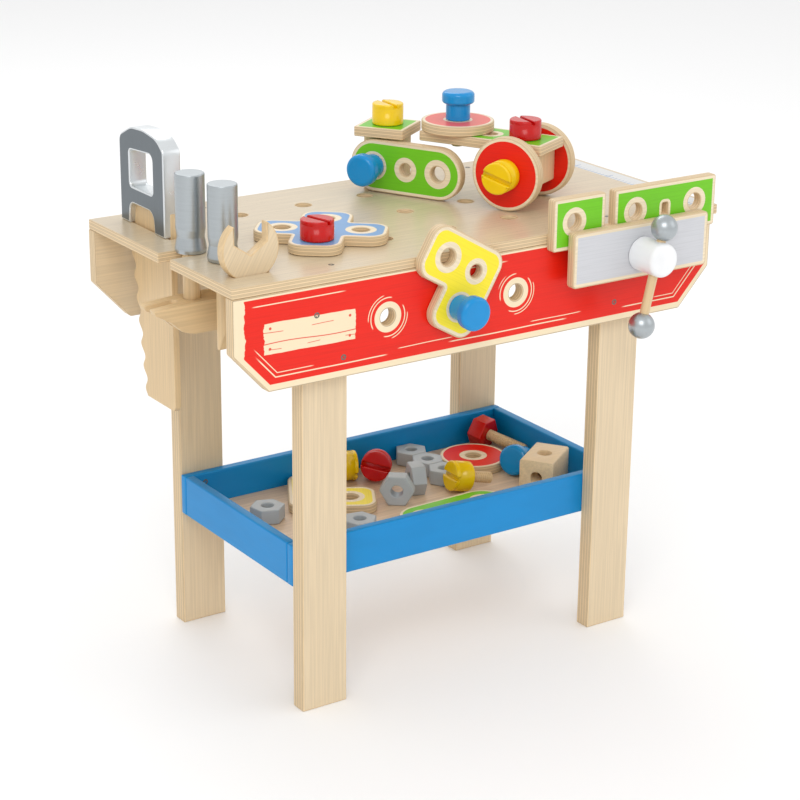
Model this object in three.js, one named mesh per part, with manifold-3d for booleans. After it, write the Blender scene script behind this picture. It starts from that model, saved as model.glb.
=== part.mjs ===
// Toy workbench: ply bench, parts tray, wooden vise, hand tools and a set of bolt-together toys.
// Millimetres, +Z up. The bench is laid out with x measured from the left legs' outer face and y
// from the front legs' front face; the last step centres its box on the origin.
import * as THREE from "three";
import { mergeVertices } from "three/addons/utils/BufferGeometryUtils.js";
import Module from "manifold-3d";

const wasm = await Module();
wasm.setup();

// ---- driving dimensions -------------------------------------------------------------------
const GAP = 0.3;                 // clearance between pieces that touch

const TOP_LEFT = -71;            // worktop board
const TOP_RIGHT = 440;
const TOP_FRONT = -11.2;
const TOP_BACK = 243.3;
const TOP_Z = 400;
const TOP_THICK = 8.8;

const APRON_THICK = 10.9;        // front and back aprons
const APRON_RIGHT = 432;
const APRON_LOW = 307.5;
const APRON_CHAMFER_X = 33;
const APRON_CHAMFER_Z = 35.6;

const LEG_WIDE = 45;             // legs
const LEG_THICK = 16.2;
const LEG_SPAN = 361;
const BACK_LEG_FRONT = 215.9;

const TRAY_LOW = 113.5;          // tray
const TRAY_HIGH = 151.8;
const TRAY_BOARD = 9;
const TRAY_FLOOR_TOP = 121;
const TRAY_FLOOR_THICK = 4;
const FLOOR = TRAY_FLOOR_TOP + GAP;

const GRID = 66.6;               // pitch of the worktop and apron holes
const GRID_X = 49.6;
const GRID_Y = 52.3;
const HOLE_R = 7.3;              // clearance hole for a toy bolt
const TAPPED_R = 5.8;            // hole that a toy bolt's thread grips
const APRON_HOLE_Z = 352.5;

const TOY_PITCH = 33.5;           // hole pitch of the toy plates
const TOY_HALF = 24.3;           // from a hole to the plate's edge
const TOY_THICK = 9;
const WHEEL_R = 33.5;
const RING_R = 32.8;
const BLOCK = 33.3;              // square section of the toy blocks
const BLOCK_LONG = 49.4;

const SHANK_R = 5.5;             // toy bolts
const SHANK_LONG = 25;
const HEAD_R = 14.5;
const HEAD_HIGH = 19.5;
const LOW_HEAD = 17.6;
const SLOT_WIDE = 4;
const SLOT_DEEP = 3.6;
const PEG_HEAD_R = 15;
const PEG_NECK_R = 11.2;
const PEG_NECK_HIGH = 15;
const PEG_HIGH = 26.3;

const NUT_FLATS = 28.5;
const NUT_THICK = 14;

const VISE_X = 335.4;            // vise
const VISE_Z = 374;
const JAW_BACK = -21.5;
const JAW_THICK = 9;
const JAW_HALF = 76.5;
const JAW_LOW = 352;
const JAW_HIGH = 402;
const COLLAR_R = 15.4;
const COLLAR_LONG = 32.5;
const SCREW_R = 6;
const SCREW_LONG = 74;
const BAR_R = 4.2;
const BAR_TILT = 13.6;           // degrees from upright
const BALL_R = 12;
const BALL_NEAR = COLLAR_R + BALL_R + 0.4;
const BALL_FAR = 61;

const SAW_X = -37;               // saw, hanging in its slot
const SAW_THICK = 17;
const BLADE_THICK = 6.2;
const SAW_FRONT = 148.4;
const SAW_BACK = 229.3;

const NOTCH = { x: -47, y: 103 };
const HAMMER = { x: -44.6, y: 103.6, grip: 68 };
const DRIVER = { x: -34.8, y: 66, grip: 65.5 };
const WRENCH = { x: -36.6, y: 17, z: 421.1 };

const LONG_PITCH = 34.5;         // holes and overhang of the engine's long plate
const LONG_END = 27.5;
const LOCO = { x: 258.3, y: 71, turn: -63 };   // axle end of the toy engine
const AXLE_Z = TOP_Z + GAP + WHEEL_R;
const DECK_Z = AXLE_Z + BLOCK / 2 + GAP;       // underside of the engine's top plates
const REAR = -136;                             // rear block, along the engine from the axle

const COLOUR = {
  birch: 0xe3cda8,
  edge: 0xd9bf92,
  red: 0xe8291b,
  blue: 0x2a86cf,
  green: 0x86cf3c,
  yellow: 0xf2d21c,
  silver: 0x9aa2a6,
  white: 0xe9eaec,
  paleBlue: 0x79a3cf,
  grey: 0xa3a7aa,
};

// ---- shaping helpers ----------------------------------------------------------------------
const bench = new THREE.Group();
bench.name = "toy_workbench";

/** A three.js geometry as a manifold solid. */
function solid(geometry) {
  const bare = geometry.clone();
  bare.deleteAttribute("normal");
  bare.deleteAttribute("uv");
  const merged = mergeVertices(bare, 1e-4);
  const mesh = new wasm.Mesh({
    numProp: 3,
    vertProperties: new Float32Array(merged.attributes.position.array),
    triVerts: new Uint32Array(merged.index.array),
  });
  return new wasm.Manifold(mesh);
}

/** A manifold solid as a three.js geometry. */
function geometryOf(manifold) {
  const mesh = manifold.getMesh();
  const geometry = new THREE.BufferGeometry();
  geometry.setAttribute("position", new THREE.BufferAttribute(new Float32Array(mesh.vertProperties), 3));
  geometry.setIndex(new THREE.BufferAttribute(new Uint32Array(mesh.triVerts), 1));
  geometry.computeVertexNormals();
  return geometry;
}

/** A geometry with others cut out of it. */
function cut(geometry, ...cutters) {
  return cutters.reduce((body, cutter) => body.subtract(solid(cutter)), solid(geometry));
}

/** A box between two corners. */
function box(x0, x1, y0, y1, z0, z1) {
  const geometry = new THREE.BoxGeometry(x1 - x0, y1 - y0, z1 - z0);
  return geometry.translate((x0 + x1) / 2, (y0 + y1) / 2, (z0 + z1) / 2);
}

/** A rod along local Z, from z = low to z = high. */
function rod(radius, low, high, segments = 24) {
  const geometry = new THREE.CylinderGeometry(radius, radius, high - low, segments);
  return geometry.rotateX(Math.PI / 2).translate(0, 0, (low + high) / 2);
}

/** A turned piece about local Z from [radius, z] pairs that start and end on the axis. */
function turned(profile, segments = 24) {
  const points = profile.map(([r, z]) => new THREE.Vector2(r, z));
  return new THREE.LatheGeometry(points, segments).rotateX(Math.PI / 2);
}

/** Polygon points with each corner [x, y, radius] rounded. */
function rounded(corners, steps = 4) {
  const points = [];
  corners.forEach(([x, y, radius], i) => {
    const at = new THREE.Vector2(x, y);
    if (!radius) {
      points.push(at);
      return;
    }
    const [px, py] = corners[(i + corners.length - 1) % corners.length];
    const [nx, ny] = corners[(i + 1) % corners.length];
    const back = new THREE.Vector2(px - x, py - y).normalize();
    const ahead = new THREE.Vector2(nx - x, ny - y).normalize();
    const half = Math.acos(THREE.MathUtils.clamp(back.dot(ahead), -1, 1)) / 2;
    const middle = back.clone().add(ahead).normalize().multiplyScalar(radius / Math.sin(half)).add(at);
    const start = at.clone().addScaledVector(back, radius / Math.tan(half)).sub(middle);
    const end = at.clone().addScaledVector(ahead, radius / Math.tan(half)).sub(middle);
    const sweep = Math.atan2(start.x * end.y - start.y * end.x, start.dot(end));
    for (let k = 0; k <= steps; k += 1) {
      points.push(start.clone().rotateAround(new THREE.Vector2(), (sweep * k) / steps).add(middle));
    }
  });
  return points;
}

/** Points of a circle. */
function circle(x, y, radius, segments = 20) {
  return Array.from({ length: segments }, (_, i) => {
    const a = (2 * Math.PI * i) / segments;
    return new THREE.Vector2(x + radius * Math.cos(a), y + radius * Math.sin(a));
  });
}

/** A flat board in local XY with holes, from z = 0 to z = thick. */
function board(outline, holes, thick, bevel = 0) {
  const shape = new THREE.Shape(outline);
  holes.forEach((hole) => shape.holes.push(new THREE.Path(hole)));
  const geometry = new THREE.ExtrudeGeometry(shape, {
    depth: thick - 2 * bevel,
    bevelEnabled: bevel > 0,
    bevelThickness: bevel,
    bevelSize: bevel,
    bevelOffset: -bevel,
    bevelSegments: 1,
    steps: 1,
  });
  return geometry.translate(0, 0, bevel);
}

/** Moves local X, Y, Z onto the given axes with the origin at a point. Y follows from Z and X. */
function place(geometry, at, zAxis, xAxis) {
  const z = new THREE.Vector3(...zAxis).normalize();
  const x = new THREE.Vector3(...xAxis);
  x.addScaledVector(z, -x.dot(z)).normalize();
  const y = new THREE.Vector3().crossVectors(z, x);
  const matrix = new THREE.Matrix4().makeBasis(x, y, z).setPosition(...at);
  return geometry.clone().applyMatrix4(matrix);
}

/** A board drawn in x and z that stands facing the front, its front face at y = front. */
function upright(outline, holes, front, thick) {
  return board(outline, holes, thick).rotateX(Math.PI / 2).translate(0, front + thick, 0);
}

/** A board drawn in y and z that stands facing left, its left face at x = left. */
function sideways(outline, holes, left, thick) {
  return place(board(outline, holes, thick), [left, 0, 0], [1, 0, 0], [0, 1, 0]);
}

/** Turns a local engine piece onto the bench. */
function onLoco(geometry) {
  return geometry.rotateZ(THREE.MathUtils.degToRad(LOCO.turn)).translate(LOCO.x, LOCO.y, 0);
}

/** Adds a named piece with its own paint. */
function add(name, shape, colour, roughness = 0.55, metalness = 0) {
  const geometry = shape instanceof wasm.Manifold ? geometryOf(shape) : shape;
  const material = new THREE.MeshStandardMaterial({ color: colour, roughness, metalness });
  const mesh = new THREE.Mesh(geometry, material);
  mesh.name = name;
  bench.add(mesh);
}

// ---- toy hardware -------------------------------------------------------------------------
/** A slotted bolt: head from z = 0 up, shank below; the slot runs along local X. */
function slottedBolt(high = HEAD_HIGH) {
  const body = turned([
    [0, -SHANK_LONG], [SHANK_R - 1, -SHANK_LONG], [SHANK_R, 1 - SHANK_LONG], [SHANK_R, 0],
    [HEAD_R - 0.8, 0], [HEAD_R, 0.8],
    [HEAD_R, high - 2.4], [HEAD_R - 0.7, high - 0.7], [HEAD_R - 2.4, high], [0, high],
  ], 28);
  const slot = box(-20, 20, -SLOT_WIDE / 2, SLOT_WIDE / 2, high - SLOT_DEEP, high + 2);
  return geometryOf(cut(body, slot));
}

/** A round-headed peg bolt: neck from z = 0 up to a rounded head, shank below. */
function pegBolt(shank = SHANK_LONG) {
  return turned([
    [0, -shank], [SHANK_R - 1, -shank], [SHANK_R, -shank + 1], [SHANK_R, 0], [PEG_NECK_R, 0],
    [PEG_NECK_R, PEG_NECK_HIGH - 0.6], [PEG_HEAD_R - 2.2, PEG_NECK_HIGH + 0.4],
    [PEG_HEAD_R, PEG_NECK_HIGH + 3.2],
    [PEG_HEAD_R, PEG_HIGH - 3.6], [PEG_HEAD_R - 1.2, PEG_HIGH - 1.1], [PEG_HEAD_R - 3.6, PEG_HIGH - 0.2],
    [0, PEG_HIGH],
  ], 28);
}

/** A hexagon outline across flats, flats facing local X. */
function hexagon(flats) {
  return Array.from({ length: 6 }, (_, i) => {
    const a = Math.PI / 6 + (i * Math.PI) / 3;
    const r = flats / 2 / Math.cos(Math.PI / 6);
    return new THREE.Vector2(r * Math.cos(a), r * Math.sin(a));
  });
}

/** A nut lying flat on z = 0. */
function nut() {
  return board(hexagon(NUT_FLATS), [circle(0, 0, TAPPED_R, 16)], NUT_THICK, 1.3);
}

/** Outline of a straight toy strip of evenly pitched holes along x. */
function stripOutline(count, cornerRadius) {
  const right = (count - 1) * TOY_PITCH + TOY_HALF;
  const r = cornerRadius;
  return rounded(
    [[-TOY_HALF, -TOY_HALF, r], [right, -TOY_HALF, r], [right, TOY_HALF, r], [-TOY_HALF, TOY_HALF, r]], 7,
  );
}

/** Holes of a straight strip; the middle one of three is tapped. */
function stripHoles(count) {
  return Array.from({ length: count }, (_, i) => {
    const tapped = count === 3 && i === 1;
    return circle(i * TOY_PITCH, 0, tapped ? TAPPED_R : HOLE_R);
  });
}

/** Outline of the boot-shaped plate: holes at the origin, one pitch up, and one more to the left. */
function bootOutline() {
  const h = TOY_HALF;
  const p = TOY_PITCH;
  return rounded([
    [-h, -h, 14], [h, -h, 14], [h, p + h, 14], [-p - h, p + h, 14], [-p - h, p - h, 14], [-h, p - h, 0],
  ]);
}

function bootHoles() {
  return [circle(0, 0, HOLE_R), circle(0, TOY_PITCH, TAPPED_R), circle(-TOY_PITCH, TOY_PITCH, HOLE_R)];
}

/** A round toy disc lying on z = 0. */
function disc(radius = WHEEL_R) {
  return board(circle(0, 0, radius, 40), [circle(0, 0, HOLE_R)], TOY_THICK);
}

/** A square-section block from z = 0 up with a hole along its length and one across, along y. */
function block(long, endHoleR, sideHoleR) {
  const half = BLOCK / 2;
  const body = board(
    rounded([[-half, -half, 2], [half, -half, 2], [half, half, 2], [-half, half, 2]], 2), [], long,
  );
  const across = rod(sideHoleR, -50, 50, 16).rotateX(Math.PI / 2).translate(0, 0, long / 2);
  return geometryOf(cut(body, rod(endHoleR, -10, long + 10, 16), across));
}

// ---- bench --------------------------------------------------------------------------------
const notch = rounded([
  [TOP_LEFT, NOTCH.y - 10.6, 0], [NOTCH.x + 10.6, NOTCH.y - 10.6, 10.5],
  [NOTCH.x + 10.6, NOTCH.y + 10.6, 10.5], [TOP_LEFT, NOTCH.y + 10.6, 0],
], 5);
const topOutline = [
  new THREE.Vector2(TOP_LEFT, TOP_FRONT), new THREE.Vector2(TOP_RIGHT, TOP_FRONT),
  new THREE.Vector2(TOP_RIGHT, TOP_BACK), new THREE.Vector2(TOP_LEFT, TOP_BACK),
  ...[...notch].reverse(),
];
const topHoles = [
  circle(DRIVER.x, DRIVER.y, 8.6, 20),
  rounded([[SAW_X - 5, 145, 0], [SAW_X + 5, 145, 0], [SAW_X + 5, 231, 0], [SAW_X - 5, 231, 0]]),
  rounded([
    [WRENCH.x - 16.5, 16.3, 0], [WRENCH.x + 16.5, 16.3, 0], [WRENCH.x + 16.5, 26.7, 0],
    [WRENCH.x - 16.5, 26.7, 0],
  ]),
];
for (let i = 0; i < 4; i += 1) {
  for (let j = 0; j < 3; j += 1) {
    topHoles.push(circle(GRID_X + GRID * i, GRID_Y + GRID * j, HOLE_R, 18));
  }
}
add(
  "worktop", board(topOutline, topHoles, TOP_THICK).translate(0, 0, TOP_Z - TOP_THICK), COLOUR.birch, 0.5,
);

const apronTop = TOP_Z - TOP_THICK - GAP;
const apronOutline = rounded([
  [TOP_LEFT + APRON_CHAMFER_X, APRON_LOW, 3], [APRON_RIGHT - APRON_CHAMFER_X, APRON_LOW, 3],
  [APRON_RIGHT, APRON_LOW + APRON_CHAMFER_Z, 3], [APRON_RIGHT, apronTop, 0],
  [TOP_LEFT, apronTop, 0], [TOP_LEFT, APRON_LOW + APRON_CHAMFER_Z, 3],
], 2);
const frontHoles = [
  circle(78.2, APRON_HOLE_Z, HOLE_R),
  circle(78.2 + GRID, APRON_HOLE_Z, TAPPED_R),
  circle(78.2 + 2 * GRID, APRON_HOLE_Z, HOLE_R),
  circle(VISE_X, VISE_Z, SCREW_R + GAP, 24),
];
add("front_apron", upright(apronOutline, frontHoles, TOP_FRONT, APRON_THICK), COLOUR.red, 0.45);
add("back_apron", upright(apronOutline, [], TOP_BACK - APRON_THICK, APRON_THICK), COLOUR.birch, 0.5);

const legTop = apronTop;
const backLegs = BACK_LEG_FRONT;
add("leg_front_left", box(0, LEG_WIDE, 0, LEG_THICK, 0, legTop), COLOUR.birch, 0.5);
const viseBore = place(rod(SCREW_R + GAP, -30, 30), [VISE_X, 8, VISE_Z], [0, 1, 0], [1, 0, 0]);
add(
  "leg_front_right", cut(box(LEG_SPAN - LEG_WIDE, LEG_SPAN, 0, LEG_THICK, 0, legTop), viseBore),
  COLOUR.birch, 0.5,
);
add("leg_back_left", box(0, LEG_WIDE, backLegs, backLegs + LEG_THICK, 0, legTop), COLOUR.birch, 0.5);
add(
  "leg_back_right", box(LEG_SPAN - LEG_WIDE, LEG_SPAN, backLegs, backLegs + LEG_THICK, 0, legTop),
  COLOUR.birch, 0.5,
);

// ---- tray ---------------------------------------------------------------------------------
const trayFront = LEG_THICK + GAP;
const trayBack = backLegs - GAP;
const innerFront = trayFront + TRAY_BOARD + GAP;
const innerBack = trayBack - TRAY_BOARD - GAP;
add(
  "tray_front", box(0, LEG_SPAN, trayFront, trayFront + TRAY_BOARD, TRAY_LOW, TRAY_HIGH), COLOUR.blue, 0.4,
);
add("tray_back", box(0, LEG_SPAN, trayBack - TRAY_BOARD, trayBack, TRAY_LOW, TRAY_HIGH), COLOUR.blue, 0.4);
add("tray_left", box(0, TRAY_BOARD, innerFront, innerBack, TRAY_LOW, TRAY_HIGH), COLOUR.blue, 0.4);
add(
  "tray_right", box(LEG_SPAN - TRAY_BOARD, LEG_SPAN, innerFront, innerBack, TRAY_LOW, TRAY_HIGH),
  COLOUR.blue, 0.4,
);
const floorLow = TRAY_FLOOR_TOP - TRAY_FLOOR_THICK;
const floorBox = [
  TRAY_BOARD + GAP, LEG_SPAN - TRAY_BOARD - GAP, innerFront, innerBack, floorLow, TRAY_FLOOR_TOP,
];
add("tray_floor", box(...floorBox), COLOUR.birch, 0.55);

// ---- mitre plate and vise -----------------------------------------------------------------
const mitreOutline = rounded([
  [243.5, 385.2, 2], [427.5, 385.2, 2], [427.5, 432, 2], [310.8, 432, 1],
  [310.8, 400.6, 0], [300.2, 400.6, 0], [300.2, 432, 1], [243.5, 432, 2],
], 2);
const mitreHoles = [266.2, 334.6, 403].map((x) => circle(x, 410, HOLE_R));
mitreHoles.push(rounded([[365.4, 402.6, 0], [371.8, 402.6, 0], [371.8, 413.4, 1], [365.4, 413.4, 1]], 2));
add(
  "mitre_plate", upright(mitreOutline, mitreHoles, TOP_FRONT - GAP - TOY_THICK, TOY_THICK), COLOUR.green,
  0.45,
);

const jawFront = JAW_BACK - JAW_THICK;
const jawOutline = rounded([
  [VISE_X - JAW_HALF, JAW_LOW, 4], [VISE_X + JAW_HALF, JAW_LOW, 4],
  [VISE_X + JAW_HALF, JAW_HIGH, 4], [VISE_X - JAW_HALF, JAW_HIGH, 4],
], 3);
add(
  "vise_jaw", upright(jawOutline, [circle(VISE_X, VISE_Z, SCREW_R + GAP, 24)], jawFront, JAW_THICK),
  COLOUR.grey, 0.5,
);

const tilt = THREE.MathUtils.degToRad(BAR_TILT);
const barAxis = [Math.sin(tilt), 0, Math.cos(tilt)];
const barCentre = [VISE_X, jawFront - GAP - 21, VISE_Z];
const screwBody = turned([
  [0, -SCREW_LONG], [SCREW_R - 1, -SCREW_LONG], [SCREW_R, -SCREW_LONG + 1], [SCREW_R, 0], [COLLAR_R - 1, 0],
  [COLLAR_R, 1], [COLLAR_R, COLLAR_LONG - 4.5], [COLLAR_R - 1.4, COLLAR_LONG - 1.4],
  [COLLAR_R - 4.5, COLLAR_LONG], [0, COLLAR_LONG],
], 32);
const screw = place(screwBody, [VISE_X, jawFront - GAP, VISE_Z], [0, -1, 0], [1, 0, 0]);
const barBore = place(rod(BAR_R + 0.25, -40, 40, 20), barCentre, barAxis, [1, 0, 0]);
add("vise_screw", cut(screw, barBore), COLOUR.white, 0.4);
add(
  "vise_bar", place(rod(BAR_R, -BALL_FAR - 4, BALL_NEAR + 4, 20), barCentre, barAxis, [1, 0, 0]),
  COLOUR.edge, 0.55,
);

/** A ball bored for the vise bar, centred at a distance along the bar. */
function viseBall(along) {
  const ball = new THREE.SphereGeometry(BALL_R, 22, 14).rotateX(Math.PI / 2);
  const bore = along > 0 ? rod(BAR_R + 0.2, -30, 4.4, 20) : rod(BAR_R + 0.2, -4.4, 30, 20);
  const bored = geometryOf(cut(ball, bore)).translate(0, 0, along);
  return place(bored, barCentre, barAxis, [1, 0, 0]);
}
add("vise_ball_upper", viseBall(BALL_NEAR), COLOUR.silver, 0.3, 0.4);
add("vise_ball_lower", viseBall(-BALL_FAR), COLOUR.silver, 0.3, 0.4);

// ---- saw ----------------------------------------------------------------------------------
const handleLow = TOP_Z + GAP;
const handleOutline = rounded([
  [SAW_FRONT, handleLow, 0], [167, handleLow, 0], [169, 419, 9], [211, 419, 7], [213.5, handleLow, 0],
  [SAW_BACK, handleLow, 0], [SAW_BACK, 476.5, 9], [207, 487.3, 30], [184, 488.6, 60],
  [160, 485.2, 25], [SAW_FRONT, 476, 8],
], 4);
const handWindow = rounded([[168.5, 434, 4], [211, 434, 4], [211, 466.5, 4], [168.5, 469.5, 6]], 3);
const handle = sideways(handleOutline, [handWindow], SAW_X - SAW_THICK / 2, SAW_THICK);
const kerf = box(SAW_X - BLADE_THICK / 2 - GAP, SAW_X + BLADE_THICK / 2 + GAP, 100, 280, 380, 421.6);
add("saw_handle", cut(handle, kerf), COLOUR.silver, 0.35, 0.4);

const bladeOutline = [
  [SAW_FRONT + 0.3, 421.2], [SAW_FRONT - 0.9, 300], [147.4, 246], [150.6, 241.6], [199.8, 241.6],
];
for (let i = 0; i <= 28; i += 1) {
  const along = i / 28;
  const wave = 2.7 * Math.sin(along * 14 * Math.PI);
  bladeOutline.push([199.8 + along * 21.8 + wave, 243 + along * 143]);
}
bladeOutline.push([SAW_BACK - 0.6, 390.4], [SAW_BACK - 0.6, 421.2]);
const bladePoints = bladeOutline.map(([y, z]) => new THREE.Vector2(y, z));
add("saw_blade", sideways(bladePoints, [], SAW_X - BLADE_THICK / 2, BLADE_THICK), COLOUR.birch, 0.55);

// ---- hammer and screwdriver ---------------------------------------------------------------
/** A painted grip standing on z = 0, bored from below for its shaft. */
function grip(boreR, high) {
  const body = turned([
    [0, 0], [12.6, 0], [13.5, 1.6], [13.6, 3.6], [12.4, 9], [11.7, 14], [12.1, 17.5], [12.7, 19.5],
    [12.7, high - 1.2], [12, high - 0.3], [11.4, high], [0, high],
  ], 28);
  return geometryOf(cut(body, rod(boreR, -5, 30.4, 20)));
}
const gripLow = TOP_Z + GAP;
add("hammer_grip", grip(7.7, HAMMER.grip).translate(HAMMER.x, HAMMER.y, gripLow), COLOUR.silver, 0.35, 0.4);
add("hammer_shaft", rod(7.5, 333, gripLow + 30).translate(HAMMER.x, HAMMER.y, 0), COLOUR.birch, 0.55);

const headLow = 332;
const headHigh = 360;
const headProfile = rounded([
  [-42, 353.4, 1.5], [-43.4, 357.6, 1], [-8, headHigh, 0], [32, headHigh, 1.5], [32, headLow, 1.5],
  [-6, headLow, 4], [-17, 335.4, 6], [-28, 345.5, 6],
].reverse(), 3);
const head = upright(headProfile, [], HAMMER.y - 14, 28).translate(HAMMER.x, 0, 0);
const eye = rod(7.8, 300, 400).translate(HAMMER.x, HAMMER.y, 0);
const forkShape = rounded([[-60, -4.6, 0], [-15, -4.6, 4.5], [-15, 4.6, 4.5], [-60, 4.6, 0]], 4);
const fork = board(forkShape, [], 60).translate(HAMMER.x, HAMMER.y, 320);
add("hammer_head", cut(head, eye, fork), COLOUR.birch, 0.55);

const driverGrip = grip(6.6, DRIVER.grip).translate(DRIVER.x, DRIVER.y, gripLow);
add("screwdriver_grip", driverGrip, COLOUR.silver, 0.35, 0.4);
const driverRod = rod(6.4, 323, gripLow + 30).translate(DRIVER.x, DRIVER.y, 0);
const tipOutline = [[-1.4, 322], [1.4, 322], [6.6, 340], [6.6, 440], [-6.6, 440], [-6.6, 340]];
const tipPoints = tipOutline.map(([y, z]) => new THREE.Vector2(y + DRIVER.y, z));
const driver = solid(driverRod).intersect(solid(sideways(tipPoints, [], DRIVER.x - 10, 20)));
add("screwdriver_shaft", driver, COLOUR.birch, 0.55);

// ---- wrench -------------------------------------------------------------------------------
const ringR = 26.5;
const stemLow = 330 - WRENCH.z;

/** Points along the wrench's round head between two angles in degrees. */
function headArc(from, to, steps = 14) {
  return Array.from({ length: steps + 1 }, (_, i) => {
    const a = THREE.MathUtils.degToRad(from + ((to - from) * i) / steps);
    return [ringR * Math.cos(a), ringR * Math.sin(a)];
  });
}
const wrenchOutline = [
  ...headArc(127, 237.7),
  [-11.5, -24], [-11.5, stemLow + 6], [-7, stemLow], [7, stemLow], [11.5, stemLow + 6], [11.5, -24],
  ...headArc(302.3, 413),
  [15.2, 20.9], [15, 20], [15, 5.5], [0, -4.6], [-15, 5.5], [-15, 20], [-15.2, 20.9],
];
const wrenchPoints = wrenchOutline.map(([x, z]) => new THREE.Vector2(x + WRENCH.x, z + WRENCH.z));
add("wrench", upright(wrenchPoints, [], WRENCH.y, TOY_THICK), COLOUR.birch, 0.55);

// ---- plates bolted to the bench -----------------------------------------------------------
const CROSS = { x: 69.8, y: 80.2, turn: -39, pitch: 34.2 };
const arm = CROSS.pitch + TOY_HALF;
const armHalf = 23;
const crossCorners = [];
[0, 90, 180, 270].forEach((turn) => {
  const a = THREE.MathUtils.degToRad(turn);
  [[armHalf, -armHalf, 0], [arm - 1, -armHalf, 15], [arm - 1, armHalf, 15]].forEach(([x, y, r]) => {
    crossCorners.push([x * Math.cos(a) - y * Math.sin(a), x * Math.sin(a) + y * Math.cos(a), r]);
  });
});
const crossHoles = [circle(0, 0, TAPPED_R)];
[0, 90, 180, 270].forEach((turn) => {
  const a = THREE.MathUtils.degToRad(turn);
  crossHoles.push(circle(CROSS.pitch * Math.cos(a), CROSS.pitch * Math.sin(a), HOLE_R));
});
const crossTurn = THREE.MathUtils.degToRad(CROSS.turn);
const cross = board(rounded(crossCorners, 5), crossHoles, TOY_THICK).rotateZ(crossTurn);
add("cross_plate", cross.translate(CROSS.x, CROSS.y, TOP_Z + GAP), COLOUR.paleBlue, 0.5);
const crossBolt = [GRID_X - 1, GRID_Y + 0.7, TOP_Z + TOY_THICK + 2 * GAP];
add("cross_bolt", place(slottedBolt(LOW_HEAD), crossBolt, [0, 0, 1], [0.24, -0.97, 0]), COLOUR.red, 0.3);

const bootX = 78.2 + GRID;
const bootFront = TOP_FRONT - GAP - TOY_THICK;
const boot = board(bootOutline(), bootHoles(), TOY_THICK).rotateZ(THREE.MathUtils.degToRad(-30));
add(
  "boot_plate", place(boot, [bootX, bootFront + TOY_THICK, APRON_HOLE_Z], [0, -1, 0], [1, 0, 0]),
  COLOUR.yellow, 0.45,
);
add(
  "boot_bolt", place(pegBolt(), [bootX, bootFront - GAP, APRON_HOLE_Z], [0, -1, 0], [1, 0, 0]),
  COLOUR.blue, 0.25,
);

// ---- toy engine ---------------------------------------------------------------------------
const OUT = [0, -1, 0];
const ALONG = [1, 0, 0];
const stripZ = TOP_Z + GAP + BLOCK_LONG / 2;
const blockY = TOY_THICK + GAP;
const axleLong = 58;
const deckY = blockY + axleLong / 2;
const strip = board(stripOutline(3, TOY_HALF - 0.1), stripHoles(3), TOY_THICK);
const wheel = disc();

/** Adds an engine piece drawn in the engine's own frame. */
function addLoco(name, geometry, colour, roughness) {
  add(name, onLoco(geometry), colour, roughness);
}

addLoco("engine_strip", place(strip, [REAR, TOY_THICK, stripZ], OUT, ALONG), COLOUR.green, 0.45);
addLoco("engine_strip_bolt", place(pegBolt(), [REAR, -GAP, stripZ], OUT, ALONG), COLOUR.blue, 0.25);
const rearBlock = block(BLOCK_LONG, TAPPED_R, TAPPED_R);
addLoco(
  "engine_rear_block", rearBlock.clone().translate(REAR, blockY + BLOCK / 2, TOP_Z + GAP), COLOUR.edge, 0.55,
);
const square = board(rounded([
  [-TOY_HALF, -TOY_HALF, 1.5], [TOY_HALF, -TOY_HALF, 1.5], [TOY_HALF, TOY_HALF, 1.5],
  [-TOY_HALF, TOY_HALF, 1.5],
], 2), [circle(0, 0, HOLE_R)], TOY_THICK).rotateZ(THREE.MathUtils.degToRad(8));
addLoco("engine_square_plate", square.translate(REAR, blockY + BLOCK / 2, DECK_Z), COLOUR.green, 0.45);
const boltZ = DECK_Z + TOY_THICK + GAP;
const squareBolt = place(slottedBolt(), [REAR, blockY + BLOCK / 2, boltZ], [0, 0, 1], [0.87, -0.5, 0]);
addLoco("engine_square_bolt", squareBolt, COLOUR.yellow, 0.3);

const discX = -2 * LONG_PITCH;
const longPlate = board(rounded([
  [discX - LONG_END, -TOY_HALF, 1.5], [LONG_END, -TOY_HALF, 1.5], [LONG_END, TOY_HALF, 1.5],
  [discX - LONG_END, TOY_HALF, 1.5],
], 2), [
  circle(discX, 0, HOLE_R), circle(-LONG_PITCH, 0, TAPPED_R), circle(0, 0, HOLE_R),
], TOY_THICK);
addLoco("engine_long_plate", longPlate.translate(0, deckY, DECK_Z), COLOUR.green, 0.45);
addLoco("engine_disc", wheel.clone().translate(discX, deckY, boltZ), COLOUR.red, 0.5);
const discBoltAt = [discX, deckY, boltZ + TOY_THICK + GAP];
addLoco("engine_disc_bolt", place(pegBolt(), discBoltAt, [0, 0, 1], ALONG), COLOUR.blue, 0.25);
addLoco(
  "engine_long_bolt", place(slottedBolt(LOW_HEAD), [0, deckY, boltZ], [0, 0, 1], [0.82, -0.57, 0]),
  COLOUR.red, 0.3,
);

const axleBlock = place(block(axleLong, TAPPED_R, TAPPED_R), [0, blockY, AXLE_Z], [0, 1, 0], ALONG);
addLoco("engine_axle_block", axleBlock, COLOUR.edge, 0.55);
const farFace = blockY + axleLong + GAP;
addLoco("engine_wheel_near", place(wheel, [0, TOY_THICK, AXLE_Z], OUT, ALONG), COLOUR.red, 0.4);
addLoco(
  "engine_wheel_near_bolt", place(slottedBolt(), [0, -GAP, AXLE_Z], OUT, [1, 0, -0.29]), COLOUR.yellow,
  0.3,
);
addLoco("engine_wheel_far", place(wheel, [0, farFace + TOY_THICK, AXLE_Z], OUT, ALONG), COLOUR.red, 0.4);
const farBoltY = farFace + TOY_THICK + GAP;
addLoco(
  "engine_wheel_far_bolt", place(slottedBolt(), [0, farBoltY, AXLE_Z], [0, 1, 0], ALONG), COLOUR.yellow,
  0.3,
);

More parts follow.
